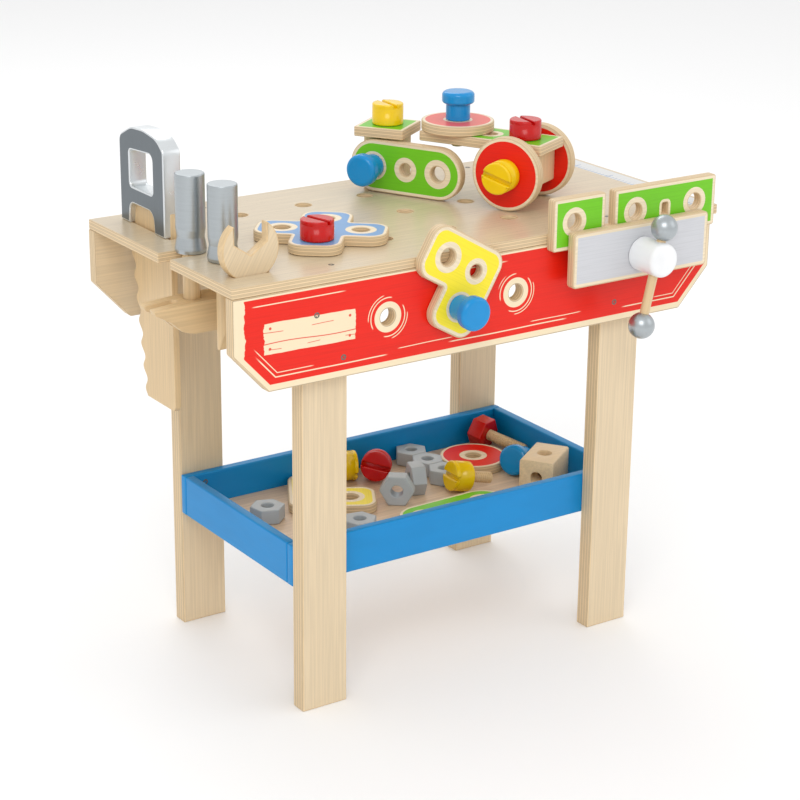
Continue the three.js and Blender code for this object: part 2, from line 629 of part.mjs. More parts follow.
// ---- loose pieces in the tray -------------------------------------------------------------
/** Lays a bolt down: head centre over (x, y), shank along a heading in degrees, its end on a rest. */
function laidBolt(geometry, headR, headHalf, shank, x, y, heading, roll = 0, rest = 0) {
  const a = THREE.MathUtils.degToRad(heading);
  const drop = Math.asin((headR - SHANK_R - rest) / (headHalf + headHalf + shank));
  const outward = [-Math.cos(a) * Math.cos(drop), -Math.sin(a) * Math.cos(drop), Math.sin(drop)];
  const side = new THREE.Vector3(-Math.sin(a), Math.cos(a), 0);
  side.applyAxisAngle(new THREE.Vector3(...outward), THREE.MathUtils.degToRad(roll));
  const laid = place(geometry.clone().translate(0, 0, -headHalf), [x, y, 0], outward, side.toArray());
  laid.computeBoundingBox();
  return laid.translate(0, 0, FLOOR - laid.boundingBox.min.z);
}

add("tray_ring", disc(RING_R).translate(291.2, 155.6, FLOOR), COLOUR.red, 0.45);
const greenStrip = board(stripOutline(3, TOY_HALF - 0.1), stripHoles(3), TOY_THICK).translate(
  -TOY_PITCH, 0, 0,
);
const greenTurn = THREE.MathUtils.degToRad(1.5);
add("tray_green_strip", greenStrip.rotateZ(greenTurn).translate(199, 56, FLOOR), COLOUR.green, 0.45);
const trayBoot = board(bootOutline(), bootHoles(), TOY_THICK).rotateY(Math.PI);
trayBoot.rotateZ(THREE.MathUtils.degToRad(60)).translate(132, 130, FLOOR + TOY_THICK);
add("tray_yellow_plate", trayBoot, COLOUR.yellow, 0.45);

const hexHead = board(hexagon(28), [], 16, 1.2);
const hexShank = rod(SHANK_R, -44, 6, 24);
const hexBolt = geometryOf(solid(hexHead).add(solid(hexShank)));
add("tray_hex_bolt", laidBolt(hexBolt, 14, 8, 44, 328.2, 191.4, -71, 30), COLOUR.red, 0.3);
add(
  "tray_yellow_bolt", laidBolt(slottedBolt(), HEAD_R, HEAD_HIGH / 2, SHANK_LONG, 237, 103.5, -8, 4),
  COLOUR.yellow, 0.3,
);
add(
  "tray_red_bolt", laidBolt(slottedBolt(), HEAD_R, HEAD_HIGH / 2, SHANK_LONG, 186.5, 169, 52, -12),
  COLOUR.red, 0.3,
);
add(
  "tray_yellow_bolt_rear",
  laidBolt(slottedBolt(), HEAD_R, HEAD_HIGH / 2, SHANK_LONG, 163, 186.5, 160, 20, 9.5), COLOUR.yellow, 0.3,
);
const shortPeg = pegBolt(20).translate(0, 0, -PEG_NECK_HIGH);
add(
  "tray_blue_bolt", laidBolt(shortPeg, PEG_HEAD_R, 5.65, 35, 307.8, 110.2, 26),
  COLOUR.blue, 0.25,
);
const trayBlock = place(block(BLOCK_LONG, TAPPED_R, HOLE_R), [0, 0, 0], [1, 0, 0], [0, 1, 0]);
trayBlock.translate(-BLOCK_LONG / 2, 0, BLOCK / 2).rotateZ(THREE.MathUtils.degToRad(35));
add("tray_block", trayBlock.translate(315, 73, FLOOR), COLOUR.edge, 0.55);

const NUTS = [[242, 191.6, 30], [241.5, 162.4, 30], [241, 133.3, 30], [105, 72, 20], [50, 143, 10]];
NUTS.forEach(([x, y, turn], i) => {
  const piece = nut().rotateZ(THREE.MathUtils.degToRad(turn)).translate(x, y, FLOOR);
  add(`tray_nut_${i + 1}`, piece, COLOUR.grey, 0.5);
});

/** A nut standing on one of its flats, its hole along a level heading in degrees. */
function standingNut(x, y, heading) {
  const a = THREE.MathUtils.degToRad(heading);
  const axis = [Math.cos(a), Math.sin(a), 0];
  return place(nut().translate(0, 0, -NUT_THICK / 2), [x, y, FLOOR + NUT_FLATS / 2], axis, [0, 0, 1]);
}
add("tray_nut_upright_left", standingNut(172, 111, 232), COLOUR.grey, 0.5);
add("tray_nut_upright_right", standingNut(202, 124, 161), COLOUR.grey, 0.5);

const span = new THREE.Box3().setFromObject(bench);
bench.children.forEach((mesh) => {
  mesh.geometry.translate(-(span.min.x + span.max.x) / 2, -(span.min.y + span.max.y) / 2, -span.min.z);
});

export default bench;
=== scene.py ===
"""Looks of a toy workbench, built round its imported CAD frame.

Lengths are in millimetres in the bench's own axes: x from the left legs' outer face, y from the front legs'
front face, z from the floor. They become the frame's metres as each mesh is made.
"""

import logging
import math
from dataclasses import dataclass, field
from enum import Enum, IntEnum
from functools import reduce
from typing import Callable, Iterable, Optional, Sequence, Union

import bmesh
import bpy
import numpy as np
from mathutils import Matrix, Vector
from mathutils.geometry import tessellate_polygon


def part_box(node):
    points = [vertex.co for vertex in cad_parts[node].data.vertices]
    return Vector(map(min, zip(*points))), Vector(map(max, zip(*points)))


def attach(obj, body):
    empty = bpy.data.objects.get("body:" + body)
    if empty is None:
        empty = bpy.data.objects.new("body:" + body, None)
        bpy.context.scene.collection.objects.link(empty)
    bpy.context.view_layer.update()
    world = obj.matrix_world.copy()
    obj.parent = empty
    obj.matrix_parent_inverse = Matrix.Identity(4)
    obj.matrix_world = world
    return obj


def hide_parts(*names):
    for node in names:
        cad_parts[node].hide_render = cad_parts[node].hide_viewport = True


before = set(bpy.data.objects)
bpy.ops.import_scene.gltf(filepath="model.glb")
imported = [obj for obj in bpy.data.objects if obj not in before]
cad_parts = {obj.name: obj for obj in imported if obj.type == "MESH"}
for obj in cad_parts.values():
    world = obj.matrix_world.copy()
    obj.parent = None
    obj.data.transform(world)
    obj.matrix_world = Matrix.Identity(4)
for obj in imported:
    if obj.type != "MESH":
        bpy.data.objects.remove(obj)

LOG = logging.getLogger("toy_workbench")

Array = np.ndarray
Colour = tuple[float, float, float]
Corner = tuple[float, float, float]
Scalar = Union["Val", float, int]

MM = 0.001
BENCH_ORIGIN = np.array([176.199, 89.811, 0.0])
GAP = 0.3

# Sizes that both the boards and the print on them need.
LEFT, FRONT = -71.0, -11.2
APRON_RIGHT, APRON_LOW, APRON_HIGH = 432.0, 307.5, 390.9
CUT_WIDE, CUT_TOP = 33.0, 343.1
APRON_HOLES = (78.2, 144.8, 211.4)
APRON_HOLE_HEIGHT = 352.5
VISE_X, VISE_HEIGHT, VISE_BORE = 335.4, 374.0, 6.3
BOARD_THICK = 9.0


# ---- placing ------------------------------------------------------------------------------


def rigid(at: Sequence[float], z: Sequence[float], x: Sequence[float]) -> Array:
    """The 4 x 4 matrix that carries local axes to a place.

    Args:
        at: Where the local origin goes.
        z: Direction of the local z axis.
        x: Direction of the local x axis, made square to z. Local y is z crossed with x.

    Returns:
        The matrix, its columns being the unit axes and the origin.
    """
    zed = np.asarray(z, float) / np.linalg.norm(z)
    ex = np.asarray(x, float)
    ex = ex - zed * ex.dot(zed)
    ex /= np.linalg.norm(ex)
    matrix = np.eye(4)
    matrix[:3, 0], matrix[:3, 1], matrix[:3, 2] = ex, np.cross(zed, ex), zed
    matrix[:3, 3] = at
    return matrix


def flat(x: float, y: float, z: float, turn: float = 0.0) -> Array:
    """A place for a piece lying flat, turned about the vertical.

    Args:
        x: Place of its origin.
        y: Place of its origin.
        z: Height of its underside.
        turn: Angle in degrees.

    Returns:
        The 4 x 4 matrix.
    """
    a = math.radians(turn)
    return rigid((x, y, z), (0, 0, 1), (math.cos(a), math.sin(a), 0))


def upright(front: float, thick: float) -> Array:
    """A place for a board drawn in x and z that faces the front.

    Args:
        front: The y of its front face.
        thick: The board's thickness.

    Returns:
        The 4 x 4 matrix: local x is x, local y is z and local z points to the front.
    """
    return rigid((0, front + thick, 0), (0, -1, 0), (1, 0, 0))


def sideways(left: float) -> Array:
    """A place for a board drawn in y and z that faces the side.

    Args:
        left: The x of its left face.

    Returns:
        The 4 x 4 matrix: local x is y, local y is z and local z is x.
    """
    return rigid((left, 0, 0), (1, 0, 0), (0, 1, 0))


# ---- surfaces -----------------------------------------------------------------------------


class Face(IntEnum):
    """Which finish a face takes."""

    RIM = 0
    PRINT = 1
    PLAIN = 2


@dataclass
class Surface:
    """Part of a piece's skin.

    Attributes:
        points: Vertices, n x 3.
        faces: Vertex numbers of each face.
        finish: The Face of each face.
    """

    points: Array
    faces: list[tuple[int, ...]]
    finish: list[int]

    @staticmethod
    def joined(parts: Iterable["Surface"]) -> "Surface":
        """All the parts as one surface.

        Args:
            parts: The surfaces to join.

        Returns:
            One surface that keeps their order.
        """
        points, faces, finish, start = [], [], [], 0
        for part in parts:
            points.append(part.points)
            faces += [tuple(i + start for i in face) for face in part.faces]
            finish += part.finish
            start += len(part.points)
        return Surface(np.vstack(points), faces, finish)

    def moved(self, matrix: Array) -> "Surface":
        """The same surface somewhere else.

        Args:
            matrix: A 4 x 4 rigid matrix.

        Returns:
            The moved surface.
        """
        return Surface(self.points @ matrix[:3, :3].T + matrix[:3, 3], self.faces, self.finish)


def strip_grid(rings: Array, finish: Sequence[int]) -> Surface:
    """A surface on a grid of closed rings: point (k, i) joins (k, i + 1), (k + 1, i + 1) and (k + 1, i).

    Args:
        rings: Points, ring by ring, k x n x 3.
        finish: The Face of each band between two rings.

    Returns:
        The quads between neighbouring rings.
    """
    count, size = rings.shape[:2]
    row, column = np.meshgrid(np.arange(count - 1), np.arange(size), indexing="ij")
    here, after = row * size + column, row * size + (column + 1) % size
    quads = np.stack([here, after, after + size, here + size], -1)
    bands = np.repeat(np.asarray(finish, int), size)
    return Surface(rings.reshape(-1, 3), [tuple(q) for q in quads.reshape(-1, 4).tolist()], bands.tolist())


def closed_rings(rings: Array, low: float, high: float, finish: int = Face.RIM) -> Surface:
    """A grid of rings round local z, closed by a fan of triangles to a pole at each end.

    Args:
        rings: Points, ring by ring from the lower end up, k x n x 3.
        low: Height of the lower pole.
        high: Height of the upper pole.
        finish: The Face of all of it.

    Returns:
        The closed surface.
    """
    count = rings.shape[1]
    body = strip_grid(rings, [finish] * (len(rings) - 1))
    start = len(body.points)
    here, last = np.arange(count), start - count
    after = (here + 1) % count
    under = np.column_stack([np.full(count, start), after, here])
    over = np.column_stack([last + here, last + after, np.full(count, start + 1)])
    fans = [tuple(f) for f in np.vstack([under, over]).tolist()]
    poles = np.array([[0, 0, low], [0, 0, high]])
    finishes = body.finish + [int(finish)] * len(fans)
    return Surface(np.vstack([body.points, poles]), body.faces + fans, finishes)


class Contour:
    """A closed line in a plane, counter-clockwise."""

    def loop(self, inset: float) -> Array:
        """The line moved inwards by the inset, outwards if negative: n x 2 points, the same n each time."""
        raise NotImplementedError


@dataclass(frozen=True)
class Ring(Contour):
    """A circle.

    Attributes:
        x: Centre.
        y: Centre.
        radius: Its radius.
        count: How many points it has.
    """

    x: float
    y: float
    radius: float
    count: int = 48

    def loop(self, inset: float) -> Array:
        """Points at equal angles on a circle of the radius less the inset.

        Args:
            inset: How far inwards.

        Returns:
            The points, count x 2.
        """
        a = np.arange(self.count) * (2 * math.pi / self.count)
        r = self.radius - inset
        return np.column_stack([self.x + r * np.cos(a), self.y + r * np.sin(a)])


@dataclass(frozen=True)
class Rounded(Contour):
    """A polygon with a radius at each corner.

    Attributes:
        corners: The (x, y, radius) of each corner.
        steps: Arc steps at each corner.
    """

    corners: tuple[Corner, ...]
    steps: int = 6

    def loop(self, inset: float) -> Array:
        """Each corner moves along its bisector by the inset, and its arc keeps its centre.

        Its radius is the given one less the inset at an outer corner, plus the inset at an inner one.

        Args:
            inset: How far inwards.

        Returns:
            The points, corners times (steps + 1) x 2.
        """
        data = np.asarray(self.corners, float)
        at, radius = data[:, :2], data[:, 2]
        back = np.roll(at, 1, 0) - at
        ahead = np.roll(at, -1, 0) - at
        back /= np.linalg.norm(back, axis=1, keepdims=True)
        ahead /= np.linalg.norm(ahead, axis=1, keepdims=True)
        inward_in = np.column_stack([back[:, 1], -back[:, 0]])
        inward_out = np.column_stack([-ahead[:, 1], ahead[:, 0]])
        share = 1 + (inward_in * inward_out).sum(1, keepdims=True)
        at = at + inset * (inward_in + inward_out) / share
        convex = np.sign(ahead[:, 0] * back[:, 1] - ahead[:, 1] * back[:, 0])
        radius = np.maximum(np.where(radius > 0, radius, 0.02) - inset * convex, 0.02)
        half = np.arccos(np.clip((back * ahead).sum(1), -1, 1)) / 2
        middle = back + ahead
        middle /= np.linalg.norm(middle, axis=1, keepdims=True)
        centre = at + middle * (radius / np.sin(half))[:, None]
        start = at + back * (radius / np.tan(half))[:, None] - centre
        sweep = convex * (math.pi - 2 * half)
        a = sweep[:, None] * np.linspace(0, 1, self.steps + 1)[None, :]
        x = start[:, :1] * np.cos(a) - start[:, 1:] * np.sin(a) + centre[:, :1]
        y = start[:, :1] * np.sin(a) + start[:, 1:] * np.cos(a) + centre[:, 1:]
        return np.stack([x, y], -1).reshape(-1, 2)


def rectangle(x0: float, x1: float, y0: float, y1: float, radius: float, steps: int = 4) -> Rounded:
    """A rectangle with rounded corners.

    Args:
        x0: Left side.
        x1: Right side.
        y0: Lower side.
        y1: Upper side.
        radius: Corner radius.
        steps: Arc steps at each corner.

    Returns:
        The outline.
    """
    return Rounded(((x0, y0, radius), (x1, y0, radius), (x1, y1, radius), (x0, y1, radius)), steps)


@dataclass(frozen=True)
class Drawn(Contour):
    """A line through given points.

    Attributes:
        points: The points, n x 2.
    """

    points: Array

    def loop(self, inset: float) -> Array:
        """Each point moves along the mean of its two edges' inward normals, far enough for both edges.

        Args:
            inset: How far inwards.

        Returns:
            The points, n x 2.
        """
        ahead = np.roll(self.points, -1, 0) - self.points
        ahead /= np.linalg.norm(ahead, axis=1, keepdims=True)
        out = np.column_stack([-ahead[:, 1], ahead[:, 0]])
        inn = np.roll(out, 1, 0)
        share = np.maximum(1 + (out * inn).sum(1, keepdims=True), 0.35)
        return self.points + inset * (out + inn) / share


@dataclass(frozen=True)
class Hole:
    """A hole through a board.

    Attributes:
        shape: Its line.
        bare: Width of the unprinted band round it.
    """

    shape: Contour
    bare: float = 0.0


@dataclass(frozen=True)
class Board:
    """A flat board from z = 0 to z = thick: a rounded edge profile carried along its lines, with flat caps.

    Attributes:
        outline: Its outer line.
        thick: Its thickness.
        holes: The holes through it.
        edge: Radius of its edges.
        bare: Width of the unprinted band along its outline; 0 leaves the print out.
        both: Whether its underside is printed too.
        open_below: Whether it has no underside, because it grows out of another piece.
    """

    outline: Contour
    thick: float
    holes: tuple[Hole, ...] = ()
    edge: float = 0.7
    bare: float = 0.0
    both: bool = False
    open_below: bool = False

    def _profile(self, low: float, high: float) -> tuple[Array, list[int]]:
        """The edge's (inset, height) pairs: quarter circles at both faces, each with a short flat beside it.

        Args:
            low: Inset at which the underside's cap begins.
            high: Inset at which the top's cap begins.

        Returns:
            The pairs, and the Face of each band between them.
        """
        a = np.linspace(0, math.pi / 2, 5)
        inset = self.edge * (1 - np.cos(a))
        rise = self.edge * np.sin(a)
        beside = self.edge + 0.15
        under = np.column_stack([inset, self.edge - rise])[::-1]
        over = np.column_stack([inset, self.thick - self.edge + rise])
        if self.open_below:
            under = np.array([[0.0, 0.0]])
            pairs = np.vstack([under, over, [[beside, self.thick], [high, self.thick]]])
            return pairs, [Face.RIM] * (len(pairs) - 2) + [Face.PLAIN]
        pairs = np.vstack([
            [[low, 0.0], [beside, 0.0]], under, over, [[beside, self.thick], [high, self.thick]],
        ])
        return pairs, [Face.PLAIN] + [Face.RIM] * (len(pairs) - 3) + [Face.PLAIN]

    def _cap(self, top: bool, insets: list[float]) -> Surface:
        """A flat cap inside the outline and outside the holes, cut into triangles.

        Args:
            top: Whether it is the upper one.
            insets: Where it begins, for the outline and each hole.

        Returns:
            The cap.
        """
        lines = [self.outline.loop(insets[0])]
        lines += [hole.shape.loop(-inset) for hole, inset in zip(self.holes, insets[1:])]
        height = self.thick if top else 0.0
        points = np.vstack(lines)
        points = np.column_stack([points, np.full(len(points), height)])
        corners = [[Vector((*at, 0)) for at in line.tolist()] for line in lines]
        triangles = np.asarray(tessellate_polygon(corners), int)
        a, b, c = (points[triangles[:, k], :2] for k in range(3))
        area = (b - a)[:, 0] * (c - a)[:, 1] - (b - a)[:, 1] * (c - a)[:, 0]
        wrong = (area < 0) == top
        triangles[wrong] = triangles[wrong][:, ::-1]
        printed = self.bare > 0 and (top or self.both)
        finish = [int(Face.PRINT if printed else Face.PLAIN)] * len(triangles)
        return Surface(points, [tuple(t) for t in triangles.tolist()], finish)

    def build(self) -> Surface:
        """The board's whole skin.

        Returns:
            Rims and caps in one surface.
        """
        beside = self.edge + 0.3
        lows, highs, parts = [], [], []
        for shape, bare, side in [(self.outline, self.bare, 1)] + [(h.shape, h.bare, -1) for h in self.holes]:
            band = max(bare, beside) if self.bare > 0 else beside
            low, high = (band if self.both else beside), band
            pairs, finish = self._profile(low, high)
            lines = np.stack([shape.loop(side * inset) for inset in pairs[:, 0]])
            heights = np.broadcast_to(pairs[:, 1, None, None], (*lines.shape[:2], 1))
            rings = np.concatenate([lines, heights], -1)
            parts.append(strip_grid(rings if side > 0 else rings[:, ::-1], finish))
            lows.append(low)
            highs.append(high)
        parts.append(self._cap(True, highs))
        if not self.open_below:
            parts.append(self._cap(False, lows))
        return Surface.joined(parts)


def softened(corners: Sequence[Corner], steps: int = 5) -> Array:
    """An open line with an arc at each inner corner and a short flat on both sides of each arc.

    Args:
        corners: The (radius, height, rounding) of each corner.
        steps: Arc steps.

    Returns:
        The points, n x 2.
    """
    data = np.asarray(corners, float)
    points = [data[0, :2]]
    for before, here, after in zip(data[:-2], data[1:-1], data[2:]):
        if here[2] <= 0:
            points.append(here[:2])
            continue
        back = (before[:2] - here[:2]) / np.linalg.norm(before[:2] - here[:2])
        ahead = (after[:2] - here[:2]) / np.linalg.norm(after[:2] - here[:2])
        half = math.acos(float(np.clip(back.dot(ahead), -1, 1))) / 2
        reach = here[2] / math.tan(half)
        middle = (back + ahead) / np.linalg.norm(back + ahead)
        centre = here[:2] + middle * here[2] / math.sin(half)
        t = np.linspace(0, 1, steps + 1)[:, None]
        start, end = here[:2] + back * reach - centre, here[:2] + ahead * reach - centre
        angle = math.pi - 2 * half
        arc = (np.sin((1 - t) * angle) * start + np.sin(t * angle) * end) / math.sin(angle)
        points += [here[:2] + back * (reach + 0.12), *(arc + centre), here[:2] + ahead * (reach + 0.12)]
    points.append(data[-1, :2])
    return np.array(points)


def revolve(
    profile: Array, finish: int = Face.RIM, count: int = 64, wave: Optional[Callable[[Array, Array], Array]] = None
) -> Surface:
    """A surface of revolution: each (radius, height) pair carried round local z, closed at its poles.

    Args:
        profile: The pairs from the lower pole to the upper one, both with radius 0.
        finish: The Face of all of it.
        count: Steps round.
        wave: Change of radius as a function of angle and height, both arrays.

    Returns:
        The closed surface.
    """
    inner = profile[1:-1]
    a = np.arange(count) * (2 * math.pi / count)
    angle, height = np.meshgrid(a, inner[:, 1])
    radius = inner[:, :1] + (wave(angle, height) if wave else 0.0)
    rings = np.stack([radius * np.cos(angle), radius * np.sin(angle), height], -1)
    return closed_rings(rings, profile[0, 1], profile[-1, 1], finish)


def threaded(radius: float, low: float, high: float, pitch: float = 2.3, depth: float = 0.85) -> Surface:
    """A threaded shank.

    The radius dips by the depth times a raised cosine of height over pitch less angle over a turn, which
    fades out at both ends.

    Args:
        radius: Outer radius.
        low: Height of its free end.
        high: Height of its top.
        pitch: Rise in one turn.
        depth: How deep the thread is.

    Returns:
        The closed shank.
    """
    rows = np.linspace(low + 0.9, high, int((high - low) / pitch * 9) + 2)
    profile = np.vstack([
        [[0, low], [radius - 1.4, low], [radius - 0.9, low + 0.15]],
        np.column_stack([np.full(len(rows), radius), rows]),
        [[0, high]],
    ])

    def wave(angle: Array, height: Array) -> Array:
        """The thread's dip at each angle and height."""
        fade = np.clip((height - low - 0.9) / 1.5, 0, 1) * np.clip((high - height) / 1.5, 0, 1)
        return -depth * fade * (0.5 - 0.5 * np.cos(2 * math.pi * height / pitch - angle)) ** 1.5

    return revolve(profile, Face.PLAIN, 40, wave)


# ---- shader maths -------------------------------------------------------------------------


class Op(Enum):
    """The Math node's operations that are used here."""

    ADD = "ADD"
    SUBTRACT = "SUBTRACT"
    MULTIPLY = "MULTIPLY"
    DIVIDE = "DIVIDE"
    ABSOLUTE = "ABSOLUTE"
    MINIMUM = "MINIMUM"
    MAXIMUM = "MAXIMUM"
    SQRT = "SQRT"
    FRACT = "FRACT"
    SINE = "SINE"
    POWER = "POWER"


def feed(tree: bpy.types.NodeTree, slot: bpy.types.NodeSocket, value: object) -> None:
    """Links an input socket or sets its value.

    Args:
        tree: The node tree it is in.
        slot: The input.
        value: A Val, socket, number, vector or colour.
    """
    source = value.socket if isinstance(value, Val) else value
    if isinstance(source, bpy.types.NodeSocket):
        tree.links.new(source, slot)
    else:
        slot.default_value = (*source, 1.0) if slot.type == "RGBA" else source


def add_node(
    tree: bpy.types.NodeTree,
    kind: str,
    settings: Optional[dict[str, object]] = None,
    sockets: Optional[dict[Union[str, int], object]] = None,
) -> bpy.types.Node:
    """Adds a node, sets its settings and then feeds its sockets.

    Args:
        tree: The node tree.
        kind: The node's type.
        settings: The node's own settings, such as an operation.
        sockets: What each input gets, by name or number.

    Returns:
        The node.
    """
    node = tree.nodes.new(kind)
    for key, value in (settings or {}).items():
        setattr(node, key, value)
    for key, value in (sockets or {}).items():
        feed(tree, node.inputs[key], value)
    return node


class Val:
    """A number inside a material: operators on it add Math nodes."""

    def __init__(self, tree: bpy.types.NodeTree, socket: bpy.types.NodeSocket) -> None:
        """Wraps a socket.

        Args:
            tree: The node tree it is in.
            socket: The output that carries the number.
        """
        self.tree = tree
        self.socket = socket

    def math(self, op: Op, *others: Scalar, first: Optional[Scalar] = None) -> "Val":
        """Adds a Math node.

        Args:
            op: Its operation.
            others: What follows this number.
            first: What stands in this number's place, when this number comes second.

        Returns:
            The result.
        """
        values = [self, *others] if first is None else [first, self]
        node = add_node(self.tree, "ShaderNodeMath", {"operation": op.value}, dict(enumerate(values)))
        return Val(self.tree, node.outputs[0])

    def __add__(self, other: Scalar) -> "Val":
        """Sum."""
        return self.math(Op.ADD, other)

    __radd__ = __add__

    def __sub__(self, other: Scalar) -> "Val":
        """Difference."""
        return self.math(Op.SUBTRACT, other)

    def __rsub__(self, other: Scalar) -> "Val":
        """Difference, this number second."""
        return self.math(Op.SUBTRACT, first=other)

    def __mul__(self, other: Scalar) -> "Val":
        """Product."""
        return self.math(Op.MULTIPLY, other)

    __rmul__ = __mul__

    def __truediv__(self, other: Scalar) -> "Val":
        """Quotient."""
        return self.math(Op.DIVIDE, other)

    def __rtruediv__(self, other: Scalar) -> "Val":
        """Quotient, this number second."""
        return self.math(Op.DIVIDE, first=other)

    def __abs__(self) -> "Val":
        """Size without sign."""
        return self.math(Op.ABSOLUTE)

    def least(self, other: Scalar) -> "Val":
        """The smaller of the two."""
        return self.math(Op.MINIMUM, other)

    def most(self, other: Scalar) -> "Val":
        """The larger of the two."""
        return self.math(Op.MAXIMUM, other)

    def root(self) -> "Val":
        """Square root."""
        return self.math(Op.SQRT)

    def fraction(self) -> "Val":
        """What is left over a whole number."""
        return self.math(Op.FRACT)

    def sine(self) -> "Val":
        """Sine."""
        return self.math(Op.SINE)

    def power(self, exponent: Scalar) -> "Val":
        """This number to a power."""
        return self.math(Op.POWER, exponent)

    def step(self, low: float, high: float) -> "Val":
        """0 below low, 1 above high and smooth between.

        Args:
            low: Where it starts to rise.
            high: Where it reaches 1.

        Returns:
            The smooth step.
        """
        sockets = {"Value": self, "From Min": low, "From Max": high}
        node = add_node(self.tree, "ShaderNodeMapRange", {"interpolation_type": "SMOOTHSTEP"}, sockets)
        return Val(self.tree, node.outputs["Result"])


class Paint:
    """Builds one material's nodes."""

    def __init__(self, name: str) -> None:
        """Makes an empty material.

        Args:
            name: Its name.
        """
        self.material = bpy.data.materials.new(name)
        self.material.use_nodes = True
        self.tree = self.material.node_tree
        self.tree.nodes.clear()
        self.shader = add_node(self.tree, "ShaderNodeBsdfPrincipled")
        add_node(self.tree, "ShaderNodeOutputMaterial", None, {"Surface": self.shader.outputs[0]})
        self.own = add_node(self.tree, "ShaderNodeAttribute", {"attribute_name": "own"}).outputs["Vector"]
        split = add_node(self.tree, "ShaderNodeSeparateXYZ", None, {"Vector": self.own})
        self.x, self.y, self.z = (Val(self.tree, split.outputs[k]) for k in range(3))

    def noise(self, x: float, y: float, z: float, detail: float = 3.0) -> Val:
        """Noise from 0 to 1 on the piece's own coordinates, which are in millimetres.

        Args:
            x: Features per millimetre along the grain.
            y: Features per millimetre across it.
            z: Features per millimetre through the thickness.
            detail: Octaves.

        Returns:
            The noise.
        """
        factors = {0: self.own, 1: (x, y, z)}
        scaled = add_node(self.tree, "ShaderNodeVectorMath", {"operation": "MULTIPLY"}, factors)
        sockets = {"Vector": scaled.outputs[0], "Scale": 1.0, "Detail": detail}
        return Val(self.tree, add_node(self.tree, "ShaderNodeTexNoise", None, sockets).outputs[0])

    def mix(self, share: Scalar, first: object, second: object) -> bpy.types.NodeSocket:
        """Blends two colours.

        Args:
            share: How much of the second.
            first: A colour or colour output.
            second: A colour or colour output.

        Returns:
            The colour output.
        """
        sockets = {0: share, 6: first, 7: second}
        return add_node(self.tree, "ShaderNodeMix", {"data_type": "RGBA"}, sockets).outputs[2]

    def put(self, name: str, value: object) -> None:
        """Sets one of the Principled shader's inputs.

        Args:
            name: The input.
            value: A Val, socket, number or colour.
        """
        feed(self.tree, self.shader.inputs[name], value)

    def lacquer(self, weight: float, rough: float) -> None:
        """A clear coat of one strength all over.

        Args:
            weight: How strong it is.
            rough: Its roughness.
        """
        self.put("Coat Weight", weight)
        self.put("Coat Roughness", rough)

    def bump(self, height: Val, depth: float, strength: float = 1.0) -> None:
        """Raises the surface by a height.

        Args:
            height: From 0 to 1.
            depth: What 1 stands for, in millimetres.
            strength: How much of it shows.
        """
        sockets = {"Height": height, "Distance": depth * MM, "Strength": strength}
        self.put("Normal", add_node(self.tree, "ShaderNodeBump", None, sockets).outputs[0])


def srgb(red: float, green: float, blue: float) -> Colour:
    """A colour from its 0 to 255 screen values.

    Args:
        red: Screen value.
        green: Screen value.
        blue: Screen value.

    Returns:
        The linear colour.
    """
    values = np.array([red, green, blue]) / 255
    low, high = values / 12.92, ((values + 0.055) / 1.055) ** 2.4
    return tuple(float(v) for v in np.where(values <= 0.04045, low, high))


def shade(colour: Colour, factor: float) -> Colour:
    """A colour made darker or lighter.

    Args:
        colour: The colour.
        factor: What it is multiplied by.

    Returns:
        The new colour.
    """
    return tuple(min(c * factor, 1.0) for c in colour)


SOFT_SHINE = 0.3


class Finish:
    """What a face is finished with. A finish makes its material once."""

    name: str

    def build(self) -> bpy.types.Material:
        """Makes the material."""
        raise NotImplementedError

    def material(self) -> bpy.types.Material:
        """The finish's material, made on first use.

        Returns:
            The material.
        """
        return bpy.data.materials.get(self.name) or self.build()


def grain(paint: Paint, colour: Colour, contrast: float = 1.0) -> tuple[bpy.types.NodeSocket, Val]:
    """Wood grain: long streaks along own x over broad soft bands.

    Args:
        paint: The material being built.
        colour: The wood's middle colour.
        contrast: How strong the grain is.

    Returns:
        The colour, and the fine streaks for bump and roughness.
    """
    streak = paint.noise(0.012, 0.55, 0.55, 4.0)
    fine = paint.noise(0.05, 3.2, 3.2, 2.0)
    broad = paint.noise(0.004, 0.05, 0.05, 2.0)
    dark, light = shade(colour, 1 - 0.20 * contrast), shade(colour, 1 + 0.07 * contrast)
    base = paint.mix(streak.step(0.34, 0.68), dark, light)
    base = paint.mix(broad.step(0.35, 0.7) * 0.35, base, shade(colour, 0.93))
    pores = fine.step(0.60, 0.74) * (0.22 * contrast)
    return paint.mix(pores, base, shade(colour, 0.62)), fine


